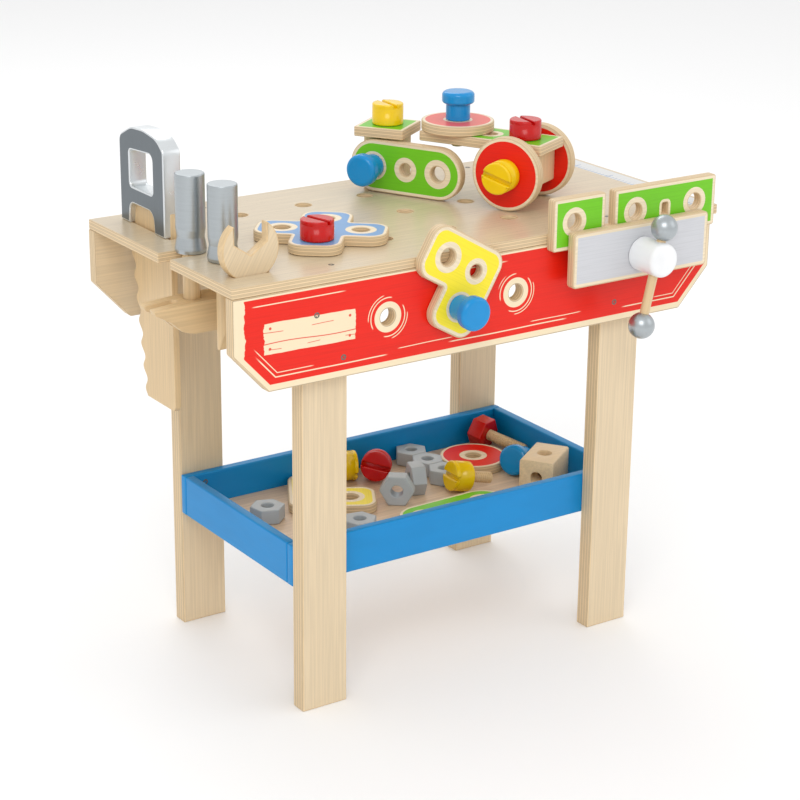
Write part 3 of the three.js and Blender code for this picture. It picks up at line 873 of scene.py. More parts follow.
@dataclass(frozen=True)
class Veneer(Finish):
    """A plywood face or solid wood under clear lacquer.

    Attributes:
        name: Its name.
        colour: Its middle colour.
        rough: Its roughness.
        contrast: How strong the grain is.
        ruled: Whether a printed ruler band runs along the right end.
    """

    name: str
    colour: Colour
    rough: float = 0.42
    contrast: float = 1.0
    ruled: bool = False

    def build(self) -> bpy.types.Material:
        """Makes the material.

        Returns:
            The material.
        """
        paint = Paint(self.name)
        colour, fine = grain(paint, self.colour, self.contrast)
        if self.ruled:
            colour = self._ruler(paint, colour)
        paint.put("Base Color", colour)
        paint.put("Roughness", fine * 0.14 + (self.rough - 0.07))
        paint.lacquer(0.25, 0.28)
        paint.bump(fine, 0.05, 0.5)
        return paint.material

    def _ruler(self, paint: Paint, colour: bpy.types.NodeSocket) -> bpy.types.NodeSocket:
        """Pale printed ruler: a band with a tick every 5 mm and a longer one every 50 mm.

        Args:
            paint: The material being built.
            colour: The wood under it.

        Returns:
            The wood with the ruler on it.
        """
        band = (1 - abs(paint.x - 427.0).step(8.6, 9.0)) * paint.y.step(-4.0, -3.0)
        tick = 1 - abs((paint.y / 5.0).fraction() - 0.5).step(0.09, 0.14)
        long_tick = 1 - abs((paint.y / 50.0).fraction() - 0.5).step(0.009, 0.014)
        short = tick * (1 - paint.x.step(422.5, 422.8))
        marks = short.most(long_tick * (1 - paint.x.step(427.5, 427.8))) * band
        colour = paint.mix(band * 0.75, colour, srgb(214, 220, 226))
        return paint.mix(marks, colour, srgb(95, 130, 175))


@dataclass(frozen=True)
class Plies(Finish):
    """A plywood edge: layers through own z with thin dark glue lines.

    Attributes:
        name: Its name.
        layer: Thickness of a layer in millimetres.
        colour: Its middle colour.
    """

    name: str
    layer: float = 1.5
    colour: Colour = field(default_factory=lambda: srgb(222, 196, 156))

    def build(self) -> bpy.types.Material:
        """Makes the material.

        Returns:
            The material.
        """
        paint = Paint(self.name)
        wander = paint.noise(0.02, 0.02, 0.3, 2.0) * 0.5
        place = paint.z / self.layer + wander
        glue = 1 - abs(place.fraction() - 0.5).step(0.05, 0.16)
        cross = abs((place * 0.5).fraction() - 0.5).step(0.20, 0.30)
        fibre = paint.noise(0.9, 0.9, 0.4, 3.0)
        streak = paint.noise(0.03, 0.03, 2.4, 3.0)
        light, dark = shade(self.colour, 1.06), shade(self.colour, 0.80)
        base = paint.mix(cross * (fibre * 0.5 + 0.5), light, dark)
        base = paint.mix(streak.step(0.45, 0.75) * 0.35, base, shade(self.colour, 0.72))
        paint.put("Base Color", paint.mix(glue * 0.55, base, shade(self.colour, 0.42)))
        paint.put("Roughness", 0.58)
        paint.lacquer(0.15, 0.35)
        paint.bump(glue * -0.6 + fibre * 0.3, 0.10, 0.6)
        return paint.material


@dataclass(frozen=True)
class Printed(Finish):
    """Colour printed on veneer: the grain shows faintly through it.

    Attributes:
        name: Its name.
        colour: The ink.
        rough: Its roughness.
        show: How much of the grain shows.
    """

    name: str
    colour: Colour
    rough: float = 0.36
    show: float = 0.5

    def _ink(self, paint: Paint) -> tuple[bpy.types.NodeSocket, Val]:
        """The ink's colour with faint grain.

        Args:
            paint: The material being built.

        Returns:
            The colour and the fine grain.
        """
        streak = paint.noise(0.02, 0.9, 0.9, 4.0)
        fine = paint.noise(0.06, 3.0, 3.0, 2.0)
        base = paint.mix(streak.step(0.40, 0.72) * self.show, self.colour, shade(self.colour, 0.84))
        return paint.mix(fine.step(0.62, 0.78) * 0.25 * self.show, base, shade(self.colour, 0.66)), fine

    def build(self) -> bpy.types.Material:
        """Makes the material.

        Returns:
            The material.
        """
        paint = Paint(self.name)
        ink, fine = self._ink(paint)
        paint.put("Base Color", self._drawn(paint, ink, fine))
        paint.put("Roughness", fine * 0.12 + (self.rough - 0.06))
        paint.lacquer(0.08, 0.22)
        paint.put("Specular IOR Level", SOFT_SHINE)
        paint.bump(fine, 0.04, 0.4)
        return paint.material

    def _drawn(self, paint: Paint, ink: bpy.types.NodeSocket, fine: Val) -> bpy.types.NodeSocket:
        """What is drawn in the ink; nothing on a plain print.

        Args:
            paint: The material being built.
            ink: The ink's colour.
            fine: The fine grain.

        Returns:
            The colour.
        """
        return ink


@dataclass(frozen=True)
class ApronPrint(Printed):
    """The red front apron's print: ragged ends, sketched outlines, rings round the holes and a plank sign.

    Attributes:
        bare: The wood that is left unprinted.
    """

    bare: Colour = field(default_factory=lambda: srgb(238, 220, 186))

    def _drawn(self, paint: Paint, ink: bpy.types.NodeSocket, fine: Val) -> bpy.types.NodeSocket:
        """The bare border, lines, rings and sign in the ink.

        Args:
            paint: The material being built.
            ink: The ink's colour.
            fine: The fine grain.

        Returns:
            The colour.
        """
        marks = self._edges(paint).most(self._lines(paint)).most(self._rings(paint))
        sign, cracks = self._sign(paint)
        wood = paint.mix(fine.step(0.6, 0.8) * 0.25, self.bare, shade(self.bare, 0.75))
        colour = paint.mix(marks.most(sign), ink, wood)
        return paint.mix(cracks, colour, shade(self.colour, 0.92))

    @staticmethod
    def _inside(paint: Paint) -> tuple[Val, Val, Val, Val]:
        """Distances inwards from the apron's ends, corners, bottom and top.

        Args:
            paint: The material being built.

        Returns:
            Distances from the nearer end, the nearer cut corner, the bottom and the top.
        """
        from_left, from_right, z = paint.x - LEFT, APRON_RIGHT - paint.x, paint.y
        rise = CUT_TOP - APRON_LOW
        slope = 1 / math.hypot(CUT_WIDE, rise)
        fall = (z - CUT_TOP) * CUT_WIDE
        left, right = (from_left * rise + fall) * slope, (from_right * rise + fall) * slope
        return from_left.least(from_right), left.least(right), z - APRON_LOW, APRON_HIGH - z

    def _edges(self, paint: Paint) -> Val:
        """The unprinted border: 4 to 7 mm wide, and wider and ragged at the left end.

        Args:
            paint: The material being built.

        Returns:
            1 where the wood is bare.
        """
        ends, cut, low, top = self._inside(paint)
        ragged = paint.noise(0.0, 0.075, 0.0, 1.0) * 9.0 + paint.noise(0.0, 0.3, 0.0, 1.0) * 2.0
        left = (paint.x - LEFT) - ragged - 5.5
        room = left.least(ends - 4.0).least(cut - 5.2).least(low - 6.2).least(top - 2.6)
        return 1 - room.step(-0.25, 0.25)

    def _lines(self, paint: Paint) -> Val:
        """Thin sketched lines that follow the border in broken strokes.

        Args:
            paint: The material being built.

        Returns:
            1 on the lines.
        """
        _, cut, low, top = self._inside(paint)
        swing = paint.noise(0.012, 0.0, 0.0, 1.0) * 1.6
        inner = (cut - 1.0).least(low)
        first = 1 - abs(inner - 11.2 - swing).step(0.35, 0.7)
        second = 1 - abs(inner - 14.4 - swing * 1.5).step(0.2, 0.55)
        above = 1 - abs(top - 8.4 - swing * 0.5).step(0.3, 0.65)
        gate = (paint.x * 0.033 + 1.1).sine().step(-0.55, -0.35)
        shorter = (paint.x * 0.045 + 2.6).sine().step(0.25, 0.45)
        upper = (paint.x * 0.038 + 1.9).sine().step(-0.2, 0.1)
        inside = (paint.x - LEFT).step(17.0, 20.0) * (APRON_RIGHT - paint.x).step(8.0, 9.0)
        return (first * gate).most(second * shorter).most(above * upper) * inside

    def _rings(self, paint: Paint) -> Val:
        """A bare ring round each hole with two broken arcs outside it.

        Args:
            paint: The material being built.

        Returns:
            1 on the rings.
        """
        marks = []
        for index, along in enumerate(APRON_HOLES):
            dx, dz = paint.x - along, paint.y - APRON_HOLE_HEIGHT
            away = (dx * dx + dz * dz).root()
            ring = 1 - away.step(13.2, 13.6)
            side = (dx * 0.8 - dz * 0.6) / away + 0.1 * index
            outer = (1 - abs(away - 17.0).step(0.3, 0.65)) * abs(side).step(0.35, 0.5)
            far = (1 - abs(away - 19.6).step(0.25, 0.55)) * abs(side).step(0.72, 0.82)
            marks += [ring, outer, far]
        return reduce(Val.most, marks)

    @staticmethod
    def _sign(paint: Paint) -> tuple[Val, Val]:
        """A bare plank sign with a slight tilt, its grain lines and its nails.

        Args:
            paint: The material being built.

        Returns:
            1 on the sign, and 1 on the lines drawn on it.
        """
        rough = paint.noise(0.06, 0.2, 0.0, 2.0)
        x, z = paint.x - 2.0, paint.y - 352.6 + (paint.x - 2.0) * 0.012
        across = 44.0 - abs(x) + (rough - 0.5) * 4.0
        up = 13.2 - abs(z) + (rough - 0.5) * 1.6
        sign = across.least(up).step(-0.2, 0.2)
        wave = (x * 0.07).sine() * 0.8
        seam = 1 - abs(z + 4.4 + wave).step(0.25, 0.6)
        split = (1 - abs(z - 5.6 - wave * 0.8).step(0.15, 0.45)) * (x * 0.13).sine().step(0.1, 0.3)
        short = (1 - abs(z + 9.0 - wave).step(0.15, 0.4)) * (x * 0.17 + 1.0).sine().step(0.4, 0.6)
        drawn = [seam, split, short]
        for nx, nz in ((-38.0, 8.6), (38.6, 8.2), (-38.4, -8.8), (38.4, -9.2)):
            dx, dz = x - nx, z - nz
            drawn.append(1 - (dx * dx + dz * dz).root().step(1.1, 1.4))
        return sign, reduce(Val.most, drawn) * sign * 0.9


@dataclass(frozen=True)
class Gloss(Finish):
    """Dipped paint: smooth and shiny with a faint ripple of wood under it.

    Attributes:
        name: Its name.
        colour: The paint.
        rough: Its roughness.
        coat: How strong its clear top coat is.
    """

    name: str
    colour: Colour
    rough: float = 0.3
    coat: float = 0.6

    def build(self) -> bpy.types.Material:
        """Makes the material.

        Returns:
            The material.
        """
        paint = Paint(self.name)
        ripple = paint.noise(0.03, 0.35, 0.35, 3.0)
        cloud = paint.noise(0.02, 0.05, 0.05, 2.0)
        base = paint.mix(cloud.step(0.35, 0.7) * 0.5, self.colour, shade(self.colour, 0.90))
        paint.put("Base Color", base)
        paint.put("Roughness", ripple * 0.14 + (self.rough - 0.07))
        paint.lacquer(self.coat, 0.12)
        paint.put("Specular IOR Level", SOFT_SHINE)
        paint.bump(ripple, 0.06, 0.35)
        return paint.material


@dataclass(frozen=True)
class Silver(Finish):
    """Metallic paint with fine flakes and a brushed run.

    Attributes:
        name: Its name.
        colour: Its middle colour.
        rough: Its roughness.
        metal: How metallic it is.
    """

    name: str
    colour: Colour
    rough: float = 0.34
    metal: float = 0.85

    def build(self) -> bpy.types.Material:
        """Makes the material.

        Returns:
            The material.
        """
        paint = Paint(self.name)
        flake = paint.noise(2.4, 2.4, 2.4, 2.0)
        brush = paint.noise(1.4, 0.06, 0.06, 3.0)
        base = paint.mix(brush.step(0.35, 0.7) * 0.3, self.colour, shade(self.colour, 0.86))
        paint.put("Base Color", paint.mix(flake.step(0.5, 0.8) * 0.35, base, shade(self.colour, 1.15)))
        paint.put("Metallic", self.metal)
        paint.put("Roughness", brush * 0.12 + (self.rough - 0.06))
        paint.bump(flake * 0.8 + brush * 0.2, 0.03, 0.4)
        return paint.material


BIRCH = srgb(221, 200, 166)
CREAM = srgb(236, 219, 188)
DOWEL = srgb(220, 191, 146)
RED = srgb(230, 30, 8)
GREEN = srgb(112, 196, 30)
YELLOW = srgb(247, 226, 50)


class Coat(Enum):
    """Every finish on the toy."""

    WORKTOP = Veneer("worktop_veneer", srgb(208, 190, 160), 0.3, 0.6, True)
    BIRCH = Veneer("birch_veneer", BIRCH, 0.45, 0.5)
    CREAM = Veneer("bare_band", CREAM, 0.45, 0.6)
    FLOOR = Veneer("tray_floor_veneer", srgb(226, 200, 172), 0.5, 0.8)
    DOWEL = Veneer("dowel_wood", DOWEL, 0.5, 0.55)
    BLOCK = Veneer("block_wood", srgb(232, 206, 166), 0.5, 0.5)
    PLIES = Plies("ply_edge")
    THICK_PLIES = Plies("leg_ply_edge", 1.9)
    APRON = ApronPrint("apron_print", RED)
    RED = Printed("red_print", RED)
    # The engine disc's red print lightened to pink: painted sheen on its faces.
    DISC_RED_PAINTED_SHEEN = Printed("disc_red_print_painted_sheen", srgb(232, 92, 78), 0.3)
    GREEN = Printed("green_print", GREEN)
    YELLOW = Printed("yellow_print", YELLOW)
    PALE_BLUE = Printed("pale_blue_print", srgb(116, 158, 204))
    PALE_GREY = Printed("jaw_print", srgb(203, 204, 208))
    TRAY_BLUE = Gloss("tray_blue_paint", srgb(0, 134, 200), 0.4, 0.1)
    BOLT_BLUE = Gloss("bolt_blue_paint", srgb(0, 138, 204), 0.2, 0.3)
    BOLT_RED = Gloss("bolt_red_paint", srgb(196, 8, 4), 0.24, 0.2)
    BOLT_YELLOW = Gloss("bolt_yellow_paint", srgb(240, 200, 0), 0.22, 0.3)
    WHITE = Gloss("collar_white_paint", srgb(238, 239, 240), 0.34, 0.4)
    NUT_GREY = Gloss("nut_grey_paint", srgb(178, 184, 188), 0.42, 0.15)
    SILVER = Silver("grip_silver_lacquer", srgb(178, 184, 187), 0.34, 0.92)
    # The saw handle's one silver paint as two copies: darker on the broad faces as painted shade, lighter on the
    # edges as painted highlight.
    SAW_FACE_PAINTED_SHADE = Silver("saw_face_silver_painted_shade", srgb(112, 119, 124), 0.3, 0.9)
    SAW_EDGE_PAINTED_HIGHLIGHT = Silver("saw_edge_silver_painted_highlight", srgb(222, 226, 228), 0.3, 0.85)
    STEEL = Silver("screw_steel", srgb(120, 118, 112), 0.38, 1.0)

    def material(self) -> bpy.types.Material:
        """The finish's material.

        Returns:
            The material.
        """
        return self.value.material()


@dataclass(frozen=True)
class Dress:
    """The three finishes of a piece.

    Attributes:
        rim: Its edges.
        printed: Its printed faces.
        plain: Its unprinted faces and bands.
    """

    rim: Coat
    printed: Coat
    plain: Coat


def plain(coat: Coat) -> Dress:
    """One finish all over.

    Args:
        coat: The finish.

    Returns:
        The dress.
    """
    return Dress(coat, coat, coat)


def ply(printed: Coat) -> Dress:
    """Plywood with a printed face.

    Args:
        printed: The print.

    Returns:
        The dress.
    """
    return Dress(Coat.PLIES, printed, Coat.CREAM)


# ---- making pieces ------------------------------------------------------------------------


class Slot(Enum):
    """The record's material slots."""

    BIRCH_PLY = "birch_ply"
    BARE_WOOD = "bare_wood"
    RED = "red_paint"
    BLUE = "blue_paint"
    GREEN = "green_paint"
    YELLOW = "yellow_paint"
    PALE_BLUE = "pale_blue_paint"
    LIGHT_GREY = "light_grey_paint"
    WHITE = "white_paint"
    SILVER = "silver_paint"
    GREY = "grey_paint"


class Made(Enum):
    """How a piece is made, which ends its name."""

    BOARD = "board"
    TURNED = "turned"
    ROD = "rod"
    ROUND = "round"
    PAINTED = "painted"


def emit(
    name: str,
    surface: Surface,
    place: Array,
    dress: Dress,
    body: str,
    own: Optional[Array] = None,
) -> bpy.types.Object:
    """Makes a piece's object from its surface.

    Args:
        name: The object's name.
        surface: Its skin in its own axes.
        place: Where it goes on the bench.
        dress: Its finishes.
        body: The CAD body it rides on.
        own: A 3 x 3 matrix from its axes to grain, across and thickness axes.

    Returns:
        The object.
    """
    world = surface.moved(place).points
    mesh = bpy.data.meshes.new(name)
    mesh.from_pydata(((world - BENCH_ORIGIN) * MM).tolist(), [], surface.faces)
    mesh.polygons.foreach_set("material_index", np.asarray(surface.finish, np.int32))
    mesh.polygons.foreach_set("use_smooth", np.ones(len(surface.faces), bool))
    attribute = mesh.attributes.new("own", "FLOAT_VECTOR", "POINT")
    local = surface.points if own is None else surface.points @ np.asarray(own, float).T
    attribute.data.foreach_set("vector", local.astype(np.float32).ravel())
    for coat in (dress.rim, dress.printed, dress.plain):
        mesh.materials.append(coat.material())
    mesh.validate()
    mesh.update()
    made = bpy.data.objects.new(name, mesh)
    bpy.context.scene.collection.objects.link(made)
    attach(made, body)
    return made


def stand_in(
    node: str,
    kind: Made,
    surface: Surface,
    place: Array,
    dress: Dress,
    slot: Slot,
    body: Optional[str] = None,
    own: Optional[Array] = None,
) -> bpy.types.Object:
    """Makes the piece that replaces one CAD node.

    Args:
        node: The CAD node.
        kind: How the piece is made.
        surface: Its skin in its own axes.
        place: Where it goes on the bench.
        dress: Its finishes.
        slot: The record's material slot; not used.
        body: The CAD body it rides on, if that isn't named like the node.
        own: A 3 x 3 matrix from its axes to grain, across and thickness axes.

    Returns:
        The object.
    """
    made = emit(f"{node}_{kind.value}", surface, place, dress, body or node, own)
    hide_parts(node)
    return made


ALONG_Z = np.array([[0, 0, 1], [1, 0, 0], [0, 1, 0]])
ALONG_Y = np.array([[0, 1, 0], [1, 0, 0], [0, 0, 1]])


def softened_copy(node: str, coat: Coat, body: str, width: float, own: Array) -> bpy.types.Object:
    """A copy of a CAD node with its triangles merged into flat faces and its edges rounded.

    Args:
        node: The CAD node, which the copy replaces.
        coat: Its finish, a bare wood.
        body: The CAD body it rides on.
        width: Radius of its edges.
        own: A 3 x 3 matrix from the bench's axes to grain, across and thickness axes.

    Returns:
        The object.
    """
    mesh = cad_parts[node].data.copy()
    mesh.name = node + "_soft"
    work = bmesh.new()
    work.from_mesh(mesh)
    bmesh.ops.remove_doubles(work, verts=work.verts, dist=0.01 * MM)
    bmesh.ops.dissolve_limit(work, angle_limit=math.radians(1), verts=work.verts, edges=work.edges)
    for face in work.faces:
        face.smooth = True
        face.material_index = 0
    work.to_mesh(mesh)
    work.free()
    mesh.materials.clear()
    mesh.materials.append(coat.material())
    points = np.empty(len(mesh.vertices) * 3, np.float32)
    mesh.vertices.foreach_get("co", points)
    bench = points.reshape(-1, 3) / MM + BENCH_ORIGIN
    attribute = mesh.attributes.new("own", "FLOAT_VECTOR", "POINT")
    attribute.data.foreach_set("vector", (bench @ own.T).astype(np.float32).ravel())
    made = bpy.data.objects.new(mesh.name, mesh)
    bpy.context.scene.collection.objects.link(made)
    bevel = made.modifiers.new("edges", "BEVEL")
    bevel.width = width * MM
    bevel.segments = 3
    bevel.limit_method = "ANGLE"
    bevel.angle_limit = math.radians(38)
    bevel.harden_normals = True
    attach(made, body)
    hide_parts(node)
    return made


@dataclass(frozen=True)
class Sizes:
    """Sizes that several sub-assemblies share."""

    top: float = 400.0
    pitch: float = 33.5
    half: float = 24.3
    thick: float = BOARD_THICK
    wheel: float = 33.5
    ring_wheel: float = 32.8
    block: float = 33.3
    block_long: float = 49.4
    hole: float = 7.3
    tapped: float = 5.8
    ring: float = 6.2
    small_ring: float = 5.7
    band: float = 3.4
    shank: float = 5.5
    shank_long: float = 25.0
    head: float = 14.5
    head_high: float = 19.5
    low_head: float = 17.6
    slot_wide: float = 4.0
    slot_deep: float = 3.6


SIZE = Sizes()
TOP = SIZE.top + GAP


def hole(x: float, y: float, tapped: bool = False) -> Hole:
    """A bolt hole in a toy plate with its unprinted ring.

    Args:
        x: Centre.
        y: Centre.
        tapped: Whether a bolt's thread grips it.

    Returns:
        The hole.
    """
    radius, bare = (SIZE.tapped, SIZE.small_ring) if tapped else (SIZE.hole, SIZE.ring)
    return Hole(Ring(x, y, radius), bare)


def strip(count: int, radius: float, both: bool = True) -> Board:
    """A straight toy strip with evenly pitched holes along x, the middle one of three tapped.

    Args:
        count: How many holes.
        radius: Corner radius.
        both: Whether both faces are printed.

    Returns:
        The board.
    """
    right = (count - 1) * SIZE.pitch + SIZE.half
    outline = rectangle(-SIZE.half, right, -SIZE.half, SIZE.half, radius, 14)
    holes = tuple(hole(i * SIZE.pitch, 0, count == 3 and i == 1) for i in range(count))
    return Board(outline, SIZE.thick, holes, 0.9, SIZE.band, both)


def boot() -> Board:
    """The boot-shaped toy plate: holes at the origin, one pitch up, and one more to the left.

    Returns:
        The board.
    """
    h, p = SIZE.half, SIZE.pitch
    outer, inner = 14.0, 1.2
    corners = (
        (-h, -h, outer), (h, -h, outer), (h, p + h, outer), (-p - h, p + h, outer), (-p - h, p - h, outer),
        (-h, p - h, inner),
    )
    holes = (hole(0, 0), hole(0, p, True), hole(-p, p))
    return Board(Rounded(corners, 10), SIZE.thick, holes, 1.2, 4.0, True)


def disc(radius: float = SIZE.wheel) -> Board:
    """A round toy disc.

    Args:
        radius: Its radius.

    Returns:
        The board.
    """
    return Board(Ring(0, 0, radius, 96), SIZE.thick, (hole(0, 0),), 1.0, SIZE.band, True)


def slotted_bolt(top: float = SIZE.head_high) -> Surface:
    """A slotted bolt with a threaded shank.

    Its head is a turned drum with two raised half moons that leave the slot between them.

    Args:
        top: The head's height.

    Returns:
        The surface, head from z = 0 up and slot along x.
    """
    r = SIZE.head
    floor = top - SIZE.slot_deep
    drum = revolve(softened([(0, 0, 0), (r, 0, 0.9), (r, floor, 0), (0, floor, 0)]))
    w = SIZE.slot_wide / 2
    a = np.linspace(math.asin(w / r), math.pi - math.asin(w / r), 41)
    arc = np.column_stack([r * np.cos(a), r * np.sin(a)])
    chord = np.column_stack([np.linspace(arc[-1, 0], arc[0, 0], 14)[1:-1], np.full(12, w)])
    half = Board(Drawn(np.vstack([arc, chord])), SIZE.slot_deep, (), 1.5, 0.0, False, True).build()
    half = Surface(half.points, half.faces, [int(Face.RIM)] * len(half.finish))
    upper = half.moved(flat(0, 0, floor))
    lower = half.moved(flat(0, 0, floor, 180))
    return Surface.joined([drum, upper, lower, threaded(SIZE.shank, -SIZE.shank_long, 1.0)])


def peg_bolt(shank: float = SIZE.shank_long) -> Surface:
    """A round-headed peg bolt: a turned neck and head and a threaded shank.

    Args:
        shank: The shank's length.

    Returns:
        The surface, neck from z = 0 up.
    """
    neck, head, high = 11.2, 15.0, 26.3
    profile = softened([
        (0, 0, 0), (neck, 0, 0.8), (neck, 14.8, 1.4), (head, 15.6, 2.6), (head, high, 3.8), (0, high, 0),
    ], 7)
    return Surface.joined([revolve(profile), threaded(SIZE.shank, -shank, 1.0)])


def hexagon(flats: float, radius: float) -> Rounded:
    """A hexagon's outline with two flats facing along x.

    Args:
        flats: Its width across flats.
        radius: Its corner radius.

    Returns:
        The outline.
    """
    r = flats / 2 / math.cos(math.pi / 6)
    angles = [math.pi / 6 + k * math.pi / 3 for k in range(6)]
    return Rounded(tuple((r * math.cos(a), r * math.sin(a), radius) for a in angles), 4)


def nut() -> Surface:
    """A nut lying on z = 0.

    Returns:
        The surface.
    """
    return Board(hexagon(28.5, 1.0), 14.0, (Hole(Ring(0, 0, SIZE.tapped)),), 1.2).build()


# ---- sub-assemblies -----------------------------------------------------------------------


@dataclass
class Bench:
    """The fixed bench: worktop, aprons, legs and tray.

    Attributes:
        right: Worktop's right end.
        back: Worktop's back edge.
        thick: Worktop's thickness.
        grid: The (x, y) of the first hole of the worktop's grid.
        grid_pitch: Distance between the grid's holes.
        apron: Aprons' thickness.
        leg: Legs' width.
        leg_thick: Legs' thickness.
        span: Distance over the legs.
        back_leg: The y of the back legs' front faces.
        tray_low: Tray's underside.
        tray_high: Tray's rim.
        tray_wall: Thickness of the tray's walls.
        floor_low: Underside of the tray's floor.
        floor_thick: The floor's thickness.
        screws: The (x, z) of the screws through the aprons into the legs.
    """

    right: float = 440.0
    back: float = 243.3
    thick: float = 8.8
    grid: tuple[float, float] = (49.6, 52.3)
    grid_pitch: float = 66.6
    apron: float = 10.9
    leg: float = 45.0
    leg_thick: float = 16.2
    span: float = 361.0
    back_leg: float = 215.9
    tray_low: float = 113.5
    tray_high: float = 151.8
    tray_wall: float = 9.0
    floor_low: float = 117.0
    floor_thick: float = 4.0
    screws: tuple[tuple[float, float], ...] = ((8.4, 365.6), (34.3, 324.9), (322.4, 325.6), (353.0, 365.6))

    def build(self) -> None:
        """Makes every piece of the bench."""
        self._worktop()
        self._aprons()
        self._legs()
        self._tray()
        self._mitre_plate()
        self._screws()

    @staticmethod
    def _add(
        node: str, surface: Surface, place: Array, dress: Dress, slot: Slot, own: Optional[Array] = None
    ) -> None:
        """Makes one of the bench's boards.

        Args:
            node: The CAD node that it replaces.
            surface: Its skin in its own axes.
            place: Where it goes on the bench.
            dress: Its finishes.
            slot: The record's material slot.
            own: A 3 x 3 matrix from its axes to grain, across and thickness axes.
        """
        stand_in(node, Made.BOARD, surface, place, dress, slot, "bench", own)

    def _worktop(self) -> None:
        """The worktop with its notch, slots and grid of holes."""
        notch_low, notch_high, notch_end = 92.4, 113.6, -36.4
        outline = Rounded((
            (LEFT, FRONT, 1.5), (self.right, FRONT, 1.5), (self.right, self.back, 1.5),
            (LEFT, self.back, 1.5), (LEFT, notch_high, 1.0), (notch_end, notch_high, 10.4),
            (notch_end, notch_low, 10.4), (LEFT, notch_low, 1.0),
        ), 10)
        driver_hole = Hole(Ring(-34.8, 66, 8.6))
        saw_slot = Hole(rectangle(-42, -32, 145, 231, 1.0, 3))
        wrench_slot = Hole(rectangle(-53.1, -20.1, 16.3, 26.7, 1.0, 3))
        x, y = self.grid
        grid = [
            Hole(Ring(x + self.grid_pitch * i, y + self.grid_pitch * j, SIZE.hole))
            for i in range(4) for j in range(3)
        ]
        board = Board(outline, self.thick, (driver_hole, saw_slot, wrench_slot, *grid), 0.8, 1.2)
        dress = Dress(Coat.PLIES, Coat.WORKTOP, Coat.BIRCH)
        self._add("worktop", board.build(), flat(0, 0, SIZE.top - self.thick), dress, Slot.BIRCH_PLY)

    def _aprons(self) -> None:
        """The printed front apron and the plain back one."""
        outline = Rounded((
            (LEFT + CUT_WIDE, APRON_LOW, 3), (APRON_RIGHT - CUT_WIDE, APRON_LOW, 3),
            (APRON_RIGHT, CUT_TOP, 3), (APRON_RIGHT, APRON_HIGH, 1), (LEFT, APRON_HIGH, 1), (LEFT, CUT_TOP, 3),
        ), 5)
        radii = (SIZE.hole, SIZE.tapped, SIZE.hole)
        holes = [Hole(Ring(x, APRON_HOLE_HEIGHT, radius)) for x, radius in zip(APRON_HOLES, radii)]
        holes.append(Hole(Ring(VISE_X, VISE_HEIGHT, VISE_BORE)))
        front = Board(outline, self.apron, tuple(holes), 0.9, 1.3)
        dress = Dress(Coat.PLIES, Coat.APRON, Coat.CREAM)
        self._add("front_apron", front.build(), upright(FRONT, self.apron), dress, Slot.RED)
        sunk = tuple(Hole(Ring(x, z, 2.85, 24)) for x, z in self.screws)
        back = Board(outline, self.apron, sunk, 0.3)
        place = upright(self.back - self.apron, self.apron)
        dress = Dress(Coat.PLIES, Coat.BIRCH, Coat.BIRCH)
        self._add("back_apron", back.build(), place, dress, Slot.BIRCH_PLY)

    def _legs(self) -> None:
        """Four legs, the right front one bored for the vise's screw."""
        dress = Dress(Coat.THICK_PLIES, Coat.BIRCH, Coat.BIRCH)
        for name, x, y in (
            ("leg_front_left", 0, 0), ("leg_front_right", self.span - self.leg, 0),
            ("leg_back_left", 0, self.back_leg), ("leg_back_right", self.span - self.leg, self.back_leg),
        ):
            outline = rectangle(x, x + self.leg, 0, APRON_HIGH, 0.8, 3)
            bore = (Hole(Ring(VISE_X, VISE_HEIGHT, VISE_BORE)),) if name == "leg_front_right" else ()
            board = Board(outline, self.leg_thick, bore, 1.1).build()
            self._add(name, board, upright(y, self.leg_thick), dress, Slot.BIRCH_PLY, ALONG_Y)

    def _tray(self) -> None:
        """The tray's painted boards and its ply floor."""
        near = self.leg_thick + GAP
        far = self.back_leg - GAP
        wall = self.tray_wall
        y0, y1 = near + wall + GAP, far - wall - GAP
        long = Board(rectangle(0, self.span, self.tray_low, self.tray_high, 1.2), wall, (), 1.5).build()
        short = Board(rectangle(y0, y1, self.tray_low, self.tray_high, 0.8), wall, (), 1.5).build()
        for name, skin, place in (
            ("tray_front", long, upright(near, wall)), ("tray_back", long, upright(far - wall, wall)),
            ("tray_left", short, sideways(0.0)), ("tray_right", short, sideways(self.span - wall)),
        ):
            self._add(name, skin, place, plain(Coat.TRAY_BLUE), Slot.BLUE)
        outline = rectangle(wall + GAP, self.span - wall - GAP, y0, y1, 0.5, 2)
        floor = Board(outline, self.floor_thick, (), 0.3)
        dress = Dress(Coat.PLIES, Coat.FLOOR, Coat.FLOOR)
        self._add("tray_floor", floor.build(), flat(0, 0, self.floor_low), dress, Slot.BIRCH_PLY)

    def _mitre_plate(self) -> None:
        """The green plate with its saw slot, three ringed holes and a small window."""
        left, right, low, high = 243.5, 427.5, 385.2, 432.0
        slot_left, slot_right, slot_low = 300.2, 310.8, 400.6
        outline = Rounded((
            (left, low, 2.5), (right, low, 2.5), (right, high, 2.5), (slot_right, high, 2),
            (slot_right, slot_low, 0.4), (slot_left, slot_low, 0.4), (slot_left, high, 2), (left, high, 2.5),
        ), 5)
        holes = [Hole(Ring(x, 410, SIZE.hole), 5.7) for x in (266.2, 334.6, 403.0)]
        window = Rounded((
            (365.4, 402.6, 0.3), (371.8, 402.6, 0.3), (371.8, 413.4, 1.5), (365.4, 413.4, 1.5),
        ), 4)
        board = Board(outline, SIZE.thick, (*holes, Hole(window, 3.2)), 0.9, 3.6)
        place = upright(FRONT - GAP - SIZE.thick, SIZE.thick)
        self._add("mitre_plate", board.build(), place, ply(Coat.GREEN), Slot.GREEN)

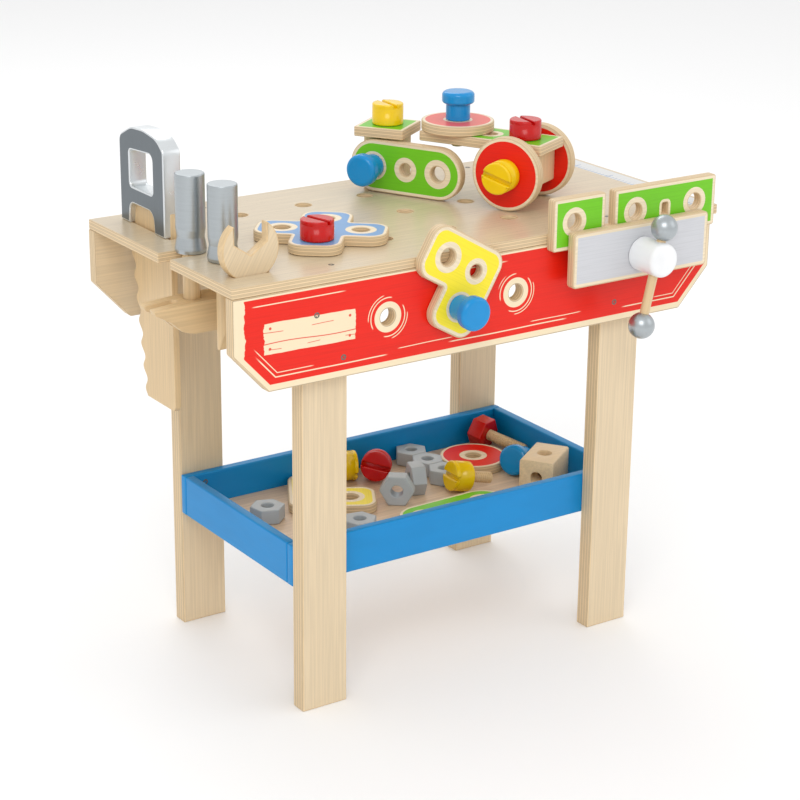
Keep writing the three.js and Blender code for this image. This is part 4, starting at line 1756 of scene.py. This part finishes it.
    def _screws(self) -> None:
        """The small cross-headed screws that hold the bench together."""
        front, back, up = (0, -1, 0), (0, 1, 0), (0, 0, 1)
        proud, sunk = 0.05, 0.3
        heads = [rigid((x, FRONT - proud, z), front, (1, 0.0, 0.3)) for x, z in self.screws]
        heads += [rigid((x, self.back - sunk, z), back, (1, 0.0, 0.4)) for x, z in self.screws]
        on_top = [(x, y) for x in (34.4, 326.6) for y in (8.1, 224.0)]
        heads += [rigid((x, y, SIZE.top + proud), up, (1, 0.4, 0)) for x, y in on_top]
        behind_leg = self.back_leg + self.leg_thick + proud
        heads += [rigid((x, behind_leg, 132.6), back, (1, 0, 0.5)) for x in (22.5, self.span - 22.5)]
        in_tray = self.back_leg - GAP - self.tray_wall - proud
        heads += [rigid((x, in_tray, 143.0), front, (1, 0, 0.3)) for x in (20.8, self.span - 20.8)]
        skins = [self._screw_head().moved(place) for place in heads]
        emit("bench_screws", Surface.joined(skins), np.eye(4), plain(Coat.STEEL), "bench")

    @staticmethod
    def _screw_head() -> Surface:
        """A shallow screw head on a polar grid: a low dome's height, less a dip where a cross arm passes.

        Returns:
            The head, its rim just under z = 0.
        """
        rim, dome, dip, arm_half, arm_long, under = 2.6, 0.22, 0.75, 0.42, 1.65, -0.8
        radius = np.concatenate([np.linspace(0.15, 1.9, 12), [2.1, 2.4, rim, rim]])
        angle, r = np.meshgrid(np.arange(48) * (2 * math.pi / 48), radius)
        x, y = r * np.cos(angle), r * np.sin(angle)
        arms = np.minimum(np.abs(x), np.abs(y)) < arm_half
        height = dome * (1 - (r / rim) ** 2) - dip * (arms & (r < arm_long))
        height[-1] = under
        return closed_rings(np.stack([x, y, height], -1)[::-1], under, dome - dip)


@dataclass
class Vise:
    """The vise: jaw, turned screw with its collar, bar and two balls.

    Attributes:
        jaw_front: The jaw's front face.
        jaw_half: Half the jaw's width.
        jaw_low: The jaw's lower edge.
        jaw_high: The jaw's upper edge.
        collar: The collar's radius.
        collar_long: The collar's length.
        screw: The shank's radius.
        screw_long: The shank's length.
        bar: The bar's radius.
        ball: The balls' radius.
        tilt: The bar's angle from upright in degrees.
        low: How far the bar's lower ball is from the screw's axis.
        past: How far the upper ball is from the collar.
        bar_in: How far the bar is from the jaw's face.
    """

    jaw_front: float = -30.5
    jaw_half: float = 76.5
    jaw_low: float = 352.0
    jaw_high: float = 402.0
    collar: float = 15.4
    collar_long: float = 32.5
    screw: float = 6.0
    screw_long: float = 74.0
    bar: float = 4.2
    ball: float = 11.87
    tilt: float = 13.6
    low: float = 61.0
    past: float = 12.4
    bar_in: float = 21.0

    def build(self) -> None:
        """Makes every piece of the vise."""
        self._jaw()
        self._screw()
        self._bar()

    def _jaw(self) -> None:
        """The jaw, bored for the screw."""
        outline = rectangle(VISE_X - self.jaw_half, VISE_X + self.jaw_half, self.jaw_low, self.jaw_high, 4, 6)
        bore = Hole(Ring(VISE_X, VISE_HEIGHT, self.screw + GAP), 3.0)
        jaw = Board(outline, SIZE.thick, (bore,), 1.2, 4.0).build()
        place = upright(self.jaw_front, SIZE.thick)
        stand_in("vise_jaw", Made.BOARD, jaw, place, ply(Coat.PALE_GREY), Slot.LIGHT_GREY)

    def _screw(self) -> None:
        """The white collar and the threaded shank, turned in one piece."""
        profile = softened([
            (0, 0, 0), (self.collar, 0, 1.2), (self.collar, self.collar_long, 4.6), (0, self.collar_long, 0),
        ], 8)
        thread = threaded(self.screw, -self.screw_long, 1.0, 3.0, 0.7)
        skin = Surface.joined([revolve(profile, Face.RIM, 72), thread])
        place = rigid((VISE_X, self.jaw_front - GAP, VISE_HEIGHT), (0, -1, 0), (1, 0, 0))
        dress = Dress(Coat.WHITE, Coat.WHITE, Coat.DOWEL)
        stand_in("vise_screw", Made.TURNED, skin, place, dress, Slot.WHITE, own=ALONG_Z)

    def _bar(self) -> None:
        """The bar through the collar and the ball on each of its ends."""
        t = math.radians(self.tilt)
        axis = np.array([math.sin(t), 0, math.cos(t)])
        middle = np.array([VISE_X, self.jaw_front - GAP - self.bar_in, VISE_HEIGHT])
        near = self.collar + self.past
        low, high = -self.low - 4, near + 4
        rod = revolve(softened([(0, low, 0), (self.bar, low, 0.6), (self.bar, high, 0.6), (0, high, 0)]))
        place = rigid(middle, axis, (1, 0, 0))
        stand_in("vise_bar", Made.ROD, rod, place, plain(Coat.DOWEL), Slot.BARE_WOOD, own=ALONG_Z)
        a = np.linspace(-math.pi / 2, math.pi / 2, 33)
        ball = revolve(np.column_stack([self.ball * np.cos(a), self.ball * np.sin(a)]), Face.RIM, 64)
        for name, along in (("vise_ball_upper", near), ("vise_ball_lower", -self.low)):
            place = rigid(middle + along * axis, axis, (1, 0, 0))
            stand_in(name, Made.ROUND, ball, place, plain(Coat.SILVER), Slot.SILVER, "vise_bar")


@dataclass
class Tools:
    """The saw, hammer, screwdriver and wrench that hang in the worktop.

    Attributes:
        saw: The saw's middle plane.
        saw_thick: The saw handle's thickness.
        blade: The saw blade's thickness.
        hammer: The hammer's axis and its grip's height.
        driver: The screwdriver's axis and its grip's height.
        in_grip: How far the shafts go up into the grips.
    """

    saw: float = -37.0
    saw_thick: float = 17.0
    blade: float = 6.2
    hammer: tuple[float, float, float] = (-44.6, 103.6, 68.0)
    driver: tuple[float, float, float] = (-34.8, 66.0, 65.5)
    in_grip: float = 20.0

    def build(self) -> None:
        """Makes every tool."""
        self._saw()
        self._grips()
        self._wrench()

    def _saw(self) -> None:
        """The saw's painted handle and its wooden blade with a wavy toothed edge."""
        outline = Rounded((
            (148.4, TOP, 0.8), (167, TOP, 0.8), (169, 419, 9), (211, 419, 7), (213.5, TOP, 0.8),
            (229.3, TOP, 0.8), (229.3, 476.5, 9), (207, 487.3, 30), (184, 488.6, 60), (160, 485.2, 25),
            (148.4, 476, 8),
        ), 8)
        window = Hole(Rounded(((168.5, 434, 4), (211, 434, 4), (211, 466.5, 4), (168.5, 469.5, 6)), 6))
        handle = Board(outline, self.saw_thick, (window,), 1.3).build()
        place = sideways(self.saw - self.saw_thick / 2)
        # Same silver paint all over: painted highlight on the handle's edges, painted shade on its faces.
        dress = Dress(Coat.SAW_EDGE_PAINTED_HIGHLIGHT, Coat.SAW_FACE_PAINTED_SHADE, Coat.SAW_FACE_PAINTED_SHADE)
        stand_in("saw_handle", Made.PAINTED, handle, place, dress, Slot.SILVER, "saw")
        teeth_count, tooth_deep = 7, 2.7
        t = np.linspace(0, 1, 141)
        wave = tooth_deep * np.sin(t * teeth_count * 2 * math.pi)
        teeth = np.column_stack([199.8 + t * 21.8 + wave, 243 + t * 143])
        start = [(148.3, 421.2), (148.2, 399.9), (147.5, 300), (147.4, 246), (150.6, 241.6), (199.4, 241.7)]
        line = np.vstack([start, teeth, [(228.7, 390.4), (228.7, 421.2)]])
        board = Board(Drawn(line), self.blade, (), 0.6).build()
        place = sideways(self.saw - self.blade / 2)
        stand_in("saw_blade", Made.BOARD, board, place, plain(Coat.DOWEL), Slot.BARE_WOOD, "saw", ALONG_Y)

    def _grips(self) -> None:
        """The hammer's and screwdriver's turned grips and shafts, and the hammer's head."""
        for name, (x, y, high) in (("hammer", self.hammer), ("screwdriver", self.driver)):
            grip = revolve(softened([
                (0, 0, 0), (13.0, 0, 0.9), (13.6, 3.2, 2.5), (11.7, 13.6, 7), (12.7, 20.5, 5),
                (12.7, high, 1.3), (0, high, 0),
            ], 7), Face.RIM, 72)
            place = flat(x, y, TOP)
            stand_in(name + "_grip", Made.TURNED, grip, place, plain(Coat.SILVER), Slot.SILVER, name, ALONG_Z)
        low, high, radius = 333.0, TOP + self.in_grip, 7.5
        profile = softened([(0, low, 0), (radius, low, 0.6), (radius, high, 0.6), (0, high, 0)])
        shaft = revolve(profile, Face.RIM, 48)
        place = flat(*self.hammer[:2], 0)
        stand_in("hammer_shaft", Made.ROD, shaft, place, plain(Coat.DOWEL), Slot.BARE_WOOD, "hammer", ALONG_Z)
        softened_copy("hammer_head", Coat.DOWEL, "hammer", 0.9, np.eye(3))
        self._driver_shaft()

    def _driver_shaft(self) -> None:
        """The screwdriver's shaft: a round section whose half thickness along y stays under a taper."""
        low, high, radius, tip_half = 323.0, TOP + self.in_grip, 6.4, 1.4
        heights = np.concatenate([np.linspace(low, 342, 24), [360, 380, high]])
        angle, height = np.meshgrid(np.arange(48) * (2 * math.pi / 48), heights)
        limit = tip_half + (height - 322.0) * (5.2 / 18.0)
        x, y = radius * np.cos(angle), np.clip(radius * np.sin(angle), -limit, limit)
        skin = closed_rings(np.stack([x, y, height], -1), low, high)
        place, dress = flat(*self.driver[:2], 0), plain(Coat.DOWEL)
        stand_in("screwdriver_shaft", Made.ROD, skin, place, dress, Slot.BARE_WOOD, "screwdriver", ALONG_Z)

    def _wrench(self) -> None:
        """The wrench: a round open head on a straight stem."""
        ring, x, z = 26.5, -36.6, 421.1
        left = np.radians(np.linspace(127, 237.7, 32))
        right = np.radians(np.linspace(302.3, 413, 32))
        low = 330 - z
        line = np.vstack([
            ring * np.column_stack([np.cos(left), np.sin(left)]),
            [(-11.5, -24), (-11.5, low + 6), (-7, low), (7, low), (11.5, low + 6), (11.5, -24)],
            ring * np.column_stack([np.cos(right), np.sin(right)]),
            [(15.3, 20.7), (15, 19.8), (15, 5.5), (0, -4.6), (-15, 5.5), (-15, 19.8), (-15.3, 20.7)],
        ])
        board = Board(Drawn(line + np.array([x, z])), SIZE.thick, (), 1.0).build()
        slanting_grain = np.array([[0.5, 0.86, 0], [0.86, -0.5, 0], [0, 0, 1]])
        dress = Dress(Coat.DOWEL, Coat.BIRCH, Coat.BIRCH)
        place = upright(17.0, SIZE.thick)
        stand_in("wrench", Made.BOARD, board, place, dress, Slot.BARE_WOOD, own=slanting_grain)


@dataclass
class Plates:
    """The cross-shaped plate on the worktop and the boot-shaped one on the front apron.

    Attributes:
        cross: The cross's centre and its turn in degrees.
        cross_pitch: Distance from its middle hole to the others.
        cross_bolt: Where its bolt stands.
        boot: The boot's pivot.
        boot_turn: Its turn in degrees.
        arm: Half width of the cross's arms.
    """

    cross: tuple[float, float, float] = (69.8, 80.2, -39.0)
    cross_pitch: float = 34.2
    cross_bolt: tuple[float, float] = (48.6, 53.0)
    boot: tuple[float, float] = (APRON_HOLES[1], APRON_HOLE_HEIGHT)
    boot_turn: float = -30.0
    arm: float = 23.0

    def build(self) -> None:
        """Makes both plates and their bolts."""
        reach = self.cross_pitch + SIZE.half - 1
        corners = []
        for quarter in range(4):
            a = quarter * math.pi / 2
            for x, y, r in ((self.arm, -self.arm, 1.5), (reach, -self.arm, 15.0), (reach, self.arm, 15.0)):
                corners.append((x * math.cos(a) - y * math.sin(a), x * math.sin(a) + y * math.cos(a), r))
        p = self.cross_pitch
        holes = (hole(0, 0, True), hole(p, 0), hole(0, p), hole(-p, 0), hole(0, -p))
        board = Board(Rounded(tuple(corners), 10), SIZE.thick, holes, 1.0, SIZE.band, True).build()
        x, y, turn = self.cross
        place = flat(x, y, TOP, turn)
        stand_in("cross_plate", Made.BOARD, board, place, ply(Coat.PALE_BLUE), Slot.PALE_BLUE)
        place = rigid((*self.cross_bolt, TOP + SIZE.thick + GAP), (0, 0, 1), (0.24, -0.97, 0))
        bolt("cross_bolt", slotted_bolt(SIZE.low_head), place, Coat.BOLT_RED, "bench")
        behind = FRONT - GAP
        x, z = self.boot
        a = math.radians(self.boot_turn)
        place = rigid((x, behind, z), (0, -1, 0), (math.cos(a), 0, math.sin(a)))
        stand_in("boot_plate", Made.BOARD, boot().build(), place, ply(Coat.YELLOW), Slot.YELLOW)
        place = rigid((x, behind - SIZE.thick - GAP, z), (0, -1, 0), (1, 0, 0))
        bolt("boot_bolt", peg_bolt(), place, Coat.BOLT_BLUE, "bench")


BOLT_SLOTS = {Coat.BOLT_RED: Slot.RED, Coat.BOLT_YELLOW: Slot.YELLOW, Coat.BOLT_BLUE: Slot.BLUE}


def bolt(node: str, skin: Surface, place: Array, coat: Coat, body: str) -> bpy.types.Object:
    """Makes a bolt with a painted head and a bare threaded shank.

    Args:
        node: The CAD node it replaces.
        skin: Its surface.
        place: Where it goes.
        coat: The head's paint.
        body: The CAD body it rides on.

    Returns:
        The object.
    """
    dress = Dress(coat, coat, Coat.DOWEL)
    return stand_in(node, Made.TURNED, skin, place, dress, BOLT_SLOTS[coat], body, ALONG_Z)


@dataclass
class Engine:
    """The toy engine that stands on the worktop, drawn from its axle.

    Attributes:
        at: Where the near wheel's outer face meets the axle.
        turn: Its heading in degrees.
        rear: Where its rear block is, along it from the axle.
        axle_long: Length of the axle block.
        long_pitch: Distance between the long plate's holes.
        long_end: How far the long plate runs past its end holes.
        square_turn: Turn of the square plate in degrees.
    """

    at: tuple[float, float] = (258.3, 71.0)
    turn: float = -63.0
    rear: float = -136.0
    axle_long: float = 58.0
    long_pitch: float = 34.5
    long_end: float = 27.5
    square_turn: float = 8.0

    def build(self) -> None:
        """Makes every piece of the engine."""
        axle = TOP + SIZE.wheel
        deck = axle + SIZE.block / 2 + GAP
        beam = TOP + SIZE.block_long / 2
        behind = SIZE.thick + GAP
        bolts = deck + behind
        middle = behind + self.axle_long / 2
        far = behind + self.axle_long + GAP
        rear = (self.rear, behind + SIZE.block / 2)
        disc_x = -2 * self.long_pitch
        out, along, up, back = (0, -1, 0), (1, 0, 0), (0, 0, 1), (0, 1, 0)
        a = math.radians(self.square_turn)
        turned = (math.cos(a), math.sin(a), 0)
        half = SIZE.half
        outline = rectangle(-half, half, -half, half, 2)
        square = Board(outline, SIZE.thick, (hole(0, 0),), 0.9, SIZE.band, True)
        long_plate, strip_at = self._long_plate(), rigid((self.rear, SIZE.thick, beam), out, along)
        at = flat(*self.at, 0, self.turn)
        for node, board, place, coat, body in (
            ("strip", strip(3, half - 0.1), strip_at, Coat.GREEN, "engine"),
            ("square_plate", square, rigid((*rear, deck), up, turned), Coat.GREEN, None),
            ("long_plate", long_plate, rigid((0, middle, deck), up, along), Coat.GREEN, "engine"),
            # The disc is printed red like the wheels; its pink finish is painted sheen.
            ("disc", disc(), rigid((disc_x, middle, bolts), up, along), Coat.DISC_RED_PAINTED_SHEEN, None),
            ("wheel_near", disc(), rigid((0, SIZE.thick, axle), out, along), Coat.RED, None),
            ("wheel_far", disc(), rigid((0, far + SIZE.thick, axle), out, along), Coat.RED, None),
        ):
            slot = Slot.GREEN if coat is Coat.GREEN else Slot.RED
            stand_in("engine_" + node, Made.BOARD, board.build(), at @ place, ply(coat), slot, body)
        low_bolt = slotted_bolt(SIZE.low_head)
        for node, skin, place, coat in (
            ("strip", peg_bolt(), rigid((self.rear, -GAP, beam), out, along), Coat.BOLT_BLUE),
            ("square", slotted_bolt(), rigid((*rear, bolts), up, (0.87, -0.5, 0)), Coat.BOLT_YELLOW),
            ("disc", peg_bolt(), rigid((disc_x, middle, bolts + behind), up, along), Coat.BOLT_BLUE),
            ("long", low_bolt, rigid((0, middle, bolts), up, (0.82, -0.57, 0)), Coat.BOLT_RED),
            ("wheel_near", slotted_bolt(), rigid((0, -GAP, axle), out, (1, 0, -0.29)), Coat.BOLT_YELLOW),
            ("wheel_far", slotted_bolt(), rigid((0, far + behind, axle), back, along), Coat.BOLT_YELLOW),
        ):
            bolt(f"engine_{node}_bolt", skin, at @ place, coat, "engine")
        for node in ("engine_rear_block", "engine_axle_block"):
            softened_copy(node, Coat.BLOCK, "engine", 1.5, ALONG_Z)

    def _long_plate(self) -> Board:
        """The long plate over the axle, its front hole at the origin.

        Returns:
            The board.
        """
        back, front, h = -2 * self.long_pitch - self.long_end, self.long_end, SIZE.half
        holes = (hole(0, 0), hole(-self.long_pitch, 0, True), hole(-2 * self.long_pitch, 0))
        return Board(rectangle(back, front, -h, h, 2), SIZE.thick, holes, 0.9, SIZE.band, True)


@dataclass
class Loose:
    """The pieces that lie in the tray.

    Attributes:
        floor: Height of what they rest on.
    """

    floor: float = 121.3

    def build(self) -> None:
        """Makes every loose piece."""
        self._flat_pieces()
        self._laid_bolts()
        self._nuts()

    def _flat_pieces(self) -> None:
        """The ring, the strip, the boot-shaped plate and the block."""
        z = self.floor
        from_middle = flat(-SIZE.pitch, 0, 0)
        face_down = rigid((0, 0, 0), (0, 0, -1), (-1, 0, 0))
        strip_at = flat(199, 56, z, 1.5) @ from_middle
        boot_at = flat(132, 130, z + SIZE.thick, 60) @ face_down
        for node, board, place, coat, slot in (
            ("tray_ring", disc(SIZE.ring_wheel), flat(291.2, 155.6, z), Coat.RED, Slot.RED),
            ("tray_green_strip", strip(3, SIZE.half - 0.1), strip_at, Coat.GREEN, Slot.GREEN),
            ("tray_yellow_plate", boot(), boot_at, Coat.YELLOW, Slot.YELLOW),
        ):
            stand_in(node, Made.BOARD, board.build(), place, ply(coat), slot)
        softened_copy("tray_block", Coat.BLOCK, "tray_block", 1.6, np.eye(3))

    @staticmethod
    def _lay(
        half: float, width: float, shank: float, x: float, y: float, heading: float, roll: float,
        rest: float = 0.0,
    ) -> Array:
        """A place for a bolt lying down, its head on the floor and its shank's end lower or on something.

        Args:
            half: Half the head's height.
            width: The head's radius.
            shank: Length from the head's underside to the end.
            x: Head's centre.
            y: Head's centre.
            heading: Where the shank points, in degrees.
            roll: Turn about its own axis in degrees.
            rest: Height of what the shank's end rests on.

        Returns:
            The 4 x 4 matrix for a bolt whose head's centre is its origin, before it is dropped to the floor.
        """
        a, b = math.radians(heading), math.radians(roll)
        drop = math.asin((width - SIZE.shank - rest) / (2 * half + shank))
        outward = np.array([-math.cos(a) * math.cos(drop), -math.sin(a) * math.cos(drop), math.sin(drop)])
        side = np.array([-math.sin(a), math.cos(a), 0.0])
        side = side * math.cos(b) + np.cross(outward, side) * math.sin(b)
        return rigid((x, y, 0), outward, side)

    def _laid_bolts(self) -> None:
        """The bolts that lie on the tray's floor."""
        r, h = SIZE.head, SIZE.head_high / 2
        hexagonal = Board(hexagon(28, 0.9), 16, (), 1.1).build()
        hexagonal = Surface(hexagonal.points, hexagonal.faces, [0] * len(hexagonal.finish))
        hex_bolt = Surface.joined([hexagonal, threaded(SIZE.shank, -44, 1.0)])
        neck = peg_bolt(20).moved(flat(0, 0, -15))
        rows = (
            ("tray_hex_bolt", hex_bolt, Coat.BOLT_RED, (8, 14, 44, 328.2, 191.4, -71, 30)),
            ("tray_yellow_bolt", slotted_bolt(), Coat.BOLT_YELLOW, (h, r, 25, 237, 103.5, -8, 4)),
            ("tray_red_bolt", slotted_bolt(), Coat.BOLT_RED, (h, r, 25, 186.5, 169, 52, -12)),
            ("tray_yellow_bolt_rear", slotted_bolt(), Coat.BOLT_YELLOW, (h, r, 25, 163, 186.5, 160, 20, 9.5)),
            ("tray_blue_bolt", neck, Coat.BOLT_BLUE, (5.65, 15.0, 35, 307.8, 110.2, 26, 0)),
        )
        for node, skin, coat, laid in rows:
            place = self._lay(*laid) @ flat(0, 0, -laid[0])
            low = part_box(node)[0].z / MM
            place[2, 3] += low - skin.moved(place).points[:, 2].min()
            bolt(node, skin, place, coat, node)

    def _nuts(self) -> None:
        """Five nuts lying flat and two standing on a flat."""
        lying = ((242, 191.6, 30), (241.5, 162.4, 30), (241, 133.3, 30), (105, 72, 20), (50, 143, 10))
        places = {f"tray_nut_{i + 1}": flat(x, y, self.floor, turn) for i, (x, y, turn) in enumerate(lying)}
        for name, x, y, heading in (("left", 172, 111, 232), ("right", 202, 124, 161)):
            a = math.radians(heading)
            place = rigid((x, y, self.floor + 14.25), (math.cos(a), math.sin(a), 0), (0, 0, 1))
            places["tray_nut_upright_" + name] = place @ flat(0, 0, -7)
        for node, place in places.items():
            stand_in(node, Made.PAINTED, nut(), place, plain(Coat.NUT_GREY), Slot.GREY)


# ---- stage --------------------------------------------------------------------------------


@dataclass
class Studio:
    """Floor, lights and camera.

    Attributes:
        lens: Focal length for a 36 mm wide sensor.
        eye: Where the camera is, on the bench.
        yaw: Its heading in degrees from +Y towards +X.
        pitch: How far it looks down, in degrees.
        roll: Its roll in degrees.
    """

    lens: float = 99.707
    eye: tuple[float, float, float] = (-903.25, -1482.08, 911.40)
    yaw: float = 34.064
    pitch: float = 19.683
    roll: float = 0.598

    def build(self) -> None:
        """Makes the floor, the lights and the camera."""
        self._floor()
        self._lights()
        self._camera()

    def _floor(self) -> None:
        """A wide pale floor: a flat grid."""
        steps = np.linspace(-1, 1, 41)
        x, y = np.meshgrid(steps * 6.0, steps * 6.0)
        points = np.stack([x, y, np.zeros_like(x)], -1).reshape(-1, 3)
        row, column = np.meshgrid(np.arange(40), np.arange(40), indexing="ij")
        first = row * 41 + column
        quads = np.stack([first, first + 1, first + 42, first + 41], -1).reshape(-1, 4)
        mesh = bpy.data.meshes.new("floor")
        mesh.from_pydata(points.tolist(), [], quads.tolist())
        paint = bpy.data.materials.new("floor_white")
        paint.use_nodes = True
        shader = paint.node_tree.nodes["Principled BSDF"]
        shader.inputs["Base Color"].default_value = (0.93, 0.93, 0.93, 1)
        shader.inputs["Roughness"].default_value = 0.7
        mesh.materials.append(paint)
        floor = bpy.data.objects.new("floor", mesh)
        bpy.context.scene.collection.objects.link(floor)

    def _lights(self) -> None:
        """A white surround with a large soft key at the upper left and a weaker fill."""
        world = bpy.data.worlds.new("studio")
        bpy.context.scene.world = world
        world.use_nodes = True
        background = world.node_tree.nodes["Background"]
        background.inputs["Color"].default_value = (1, 1, 1, 1)
        background.inputs["Strength"].default_value = 0.92
        for name, at, size, power in (
            ("key", (-1.5, -1.9, 2.4), 1.5, 26.0),
            ("fill", (1.9, -1.6, 1.6), 1.8, 6.0),
            ("rim", (0.6, 2.0, 2.3), 1.6, 14.0),
        ):
            data = bpy.data.lights.new(name, "AREA")
            data.size = size
            data.energy = power
            lamp = bpy.data.objects.new(name, data)
            lamp.location = at
            lamp.rotation_euler = (Vector((0, 0, 0.25)) - Vector(at)).to_track_quat("-Z", "Y").to_euler()
            bpy.context.scene.collection.objects.link(lamp)

    def _camera(self) -> None:
        """The camera, from its eye point and its yaw, pitch and roll."""
        yaw, pitch, roll = (math.radians(v) for v in (self.yaw, self.pitch, self.roll))
        ahead = Vector((math.sin(yaw) * math.cos(pitch), math.cos(yaw) * math.cos(pitch), -math.sin(pitch)))
        right = Vector((math.cos(yaw), -math.sin(yaw), 0))
        up = right.cross(ahead)
        x = right * math.cos(roll) + up * math.sin(roll)
        y = up * math.cos(roll) - right * math.sin(roll)
        data = bpy.data.cameras.new("camera")
        data.lens = self.lens
        data.sensor_width = 36.0
        data.clip_start, data.clip_end = 0.05, 30.0
        camera = bpy.data.objects.new("camera", data)
        eye = (np.array(self.eye) - BENCH_ORIGIN) * MM
        turn = Matrix((x, y, -ahead)).transposed().to_4x4()
        camera.matrix_world = Matrix.Translation(Vector(eye.tolist())) @ turn
        bpy.context.scene.collection.objects.link(camera)
        bpy.context.scene.camera = camera


def main() -> None:
    logging.basicConfig(level=logging.INFO, format="%(name)s: %(message)s")
    scene = bpy.context.scene
    scene.view_settings.view_transform = "Standard"
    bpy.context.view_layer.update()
    for part in (Bench(), Vise(), Tools(), Plates(), Engine(), Loose(), Studio()):
        part.build()
        LOG.info("built %s", type(part).__name__)


if __name__ == "__main__":
    main()
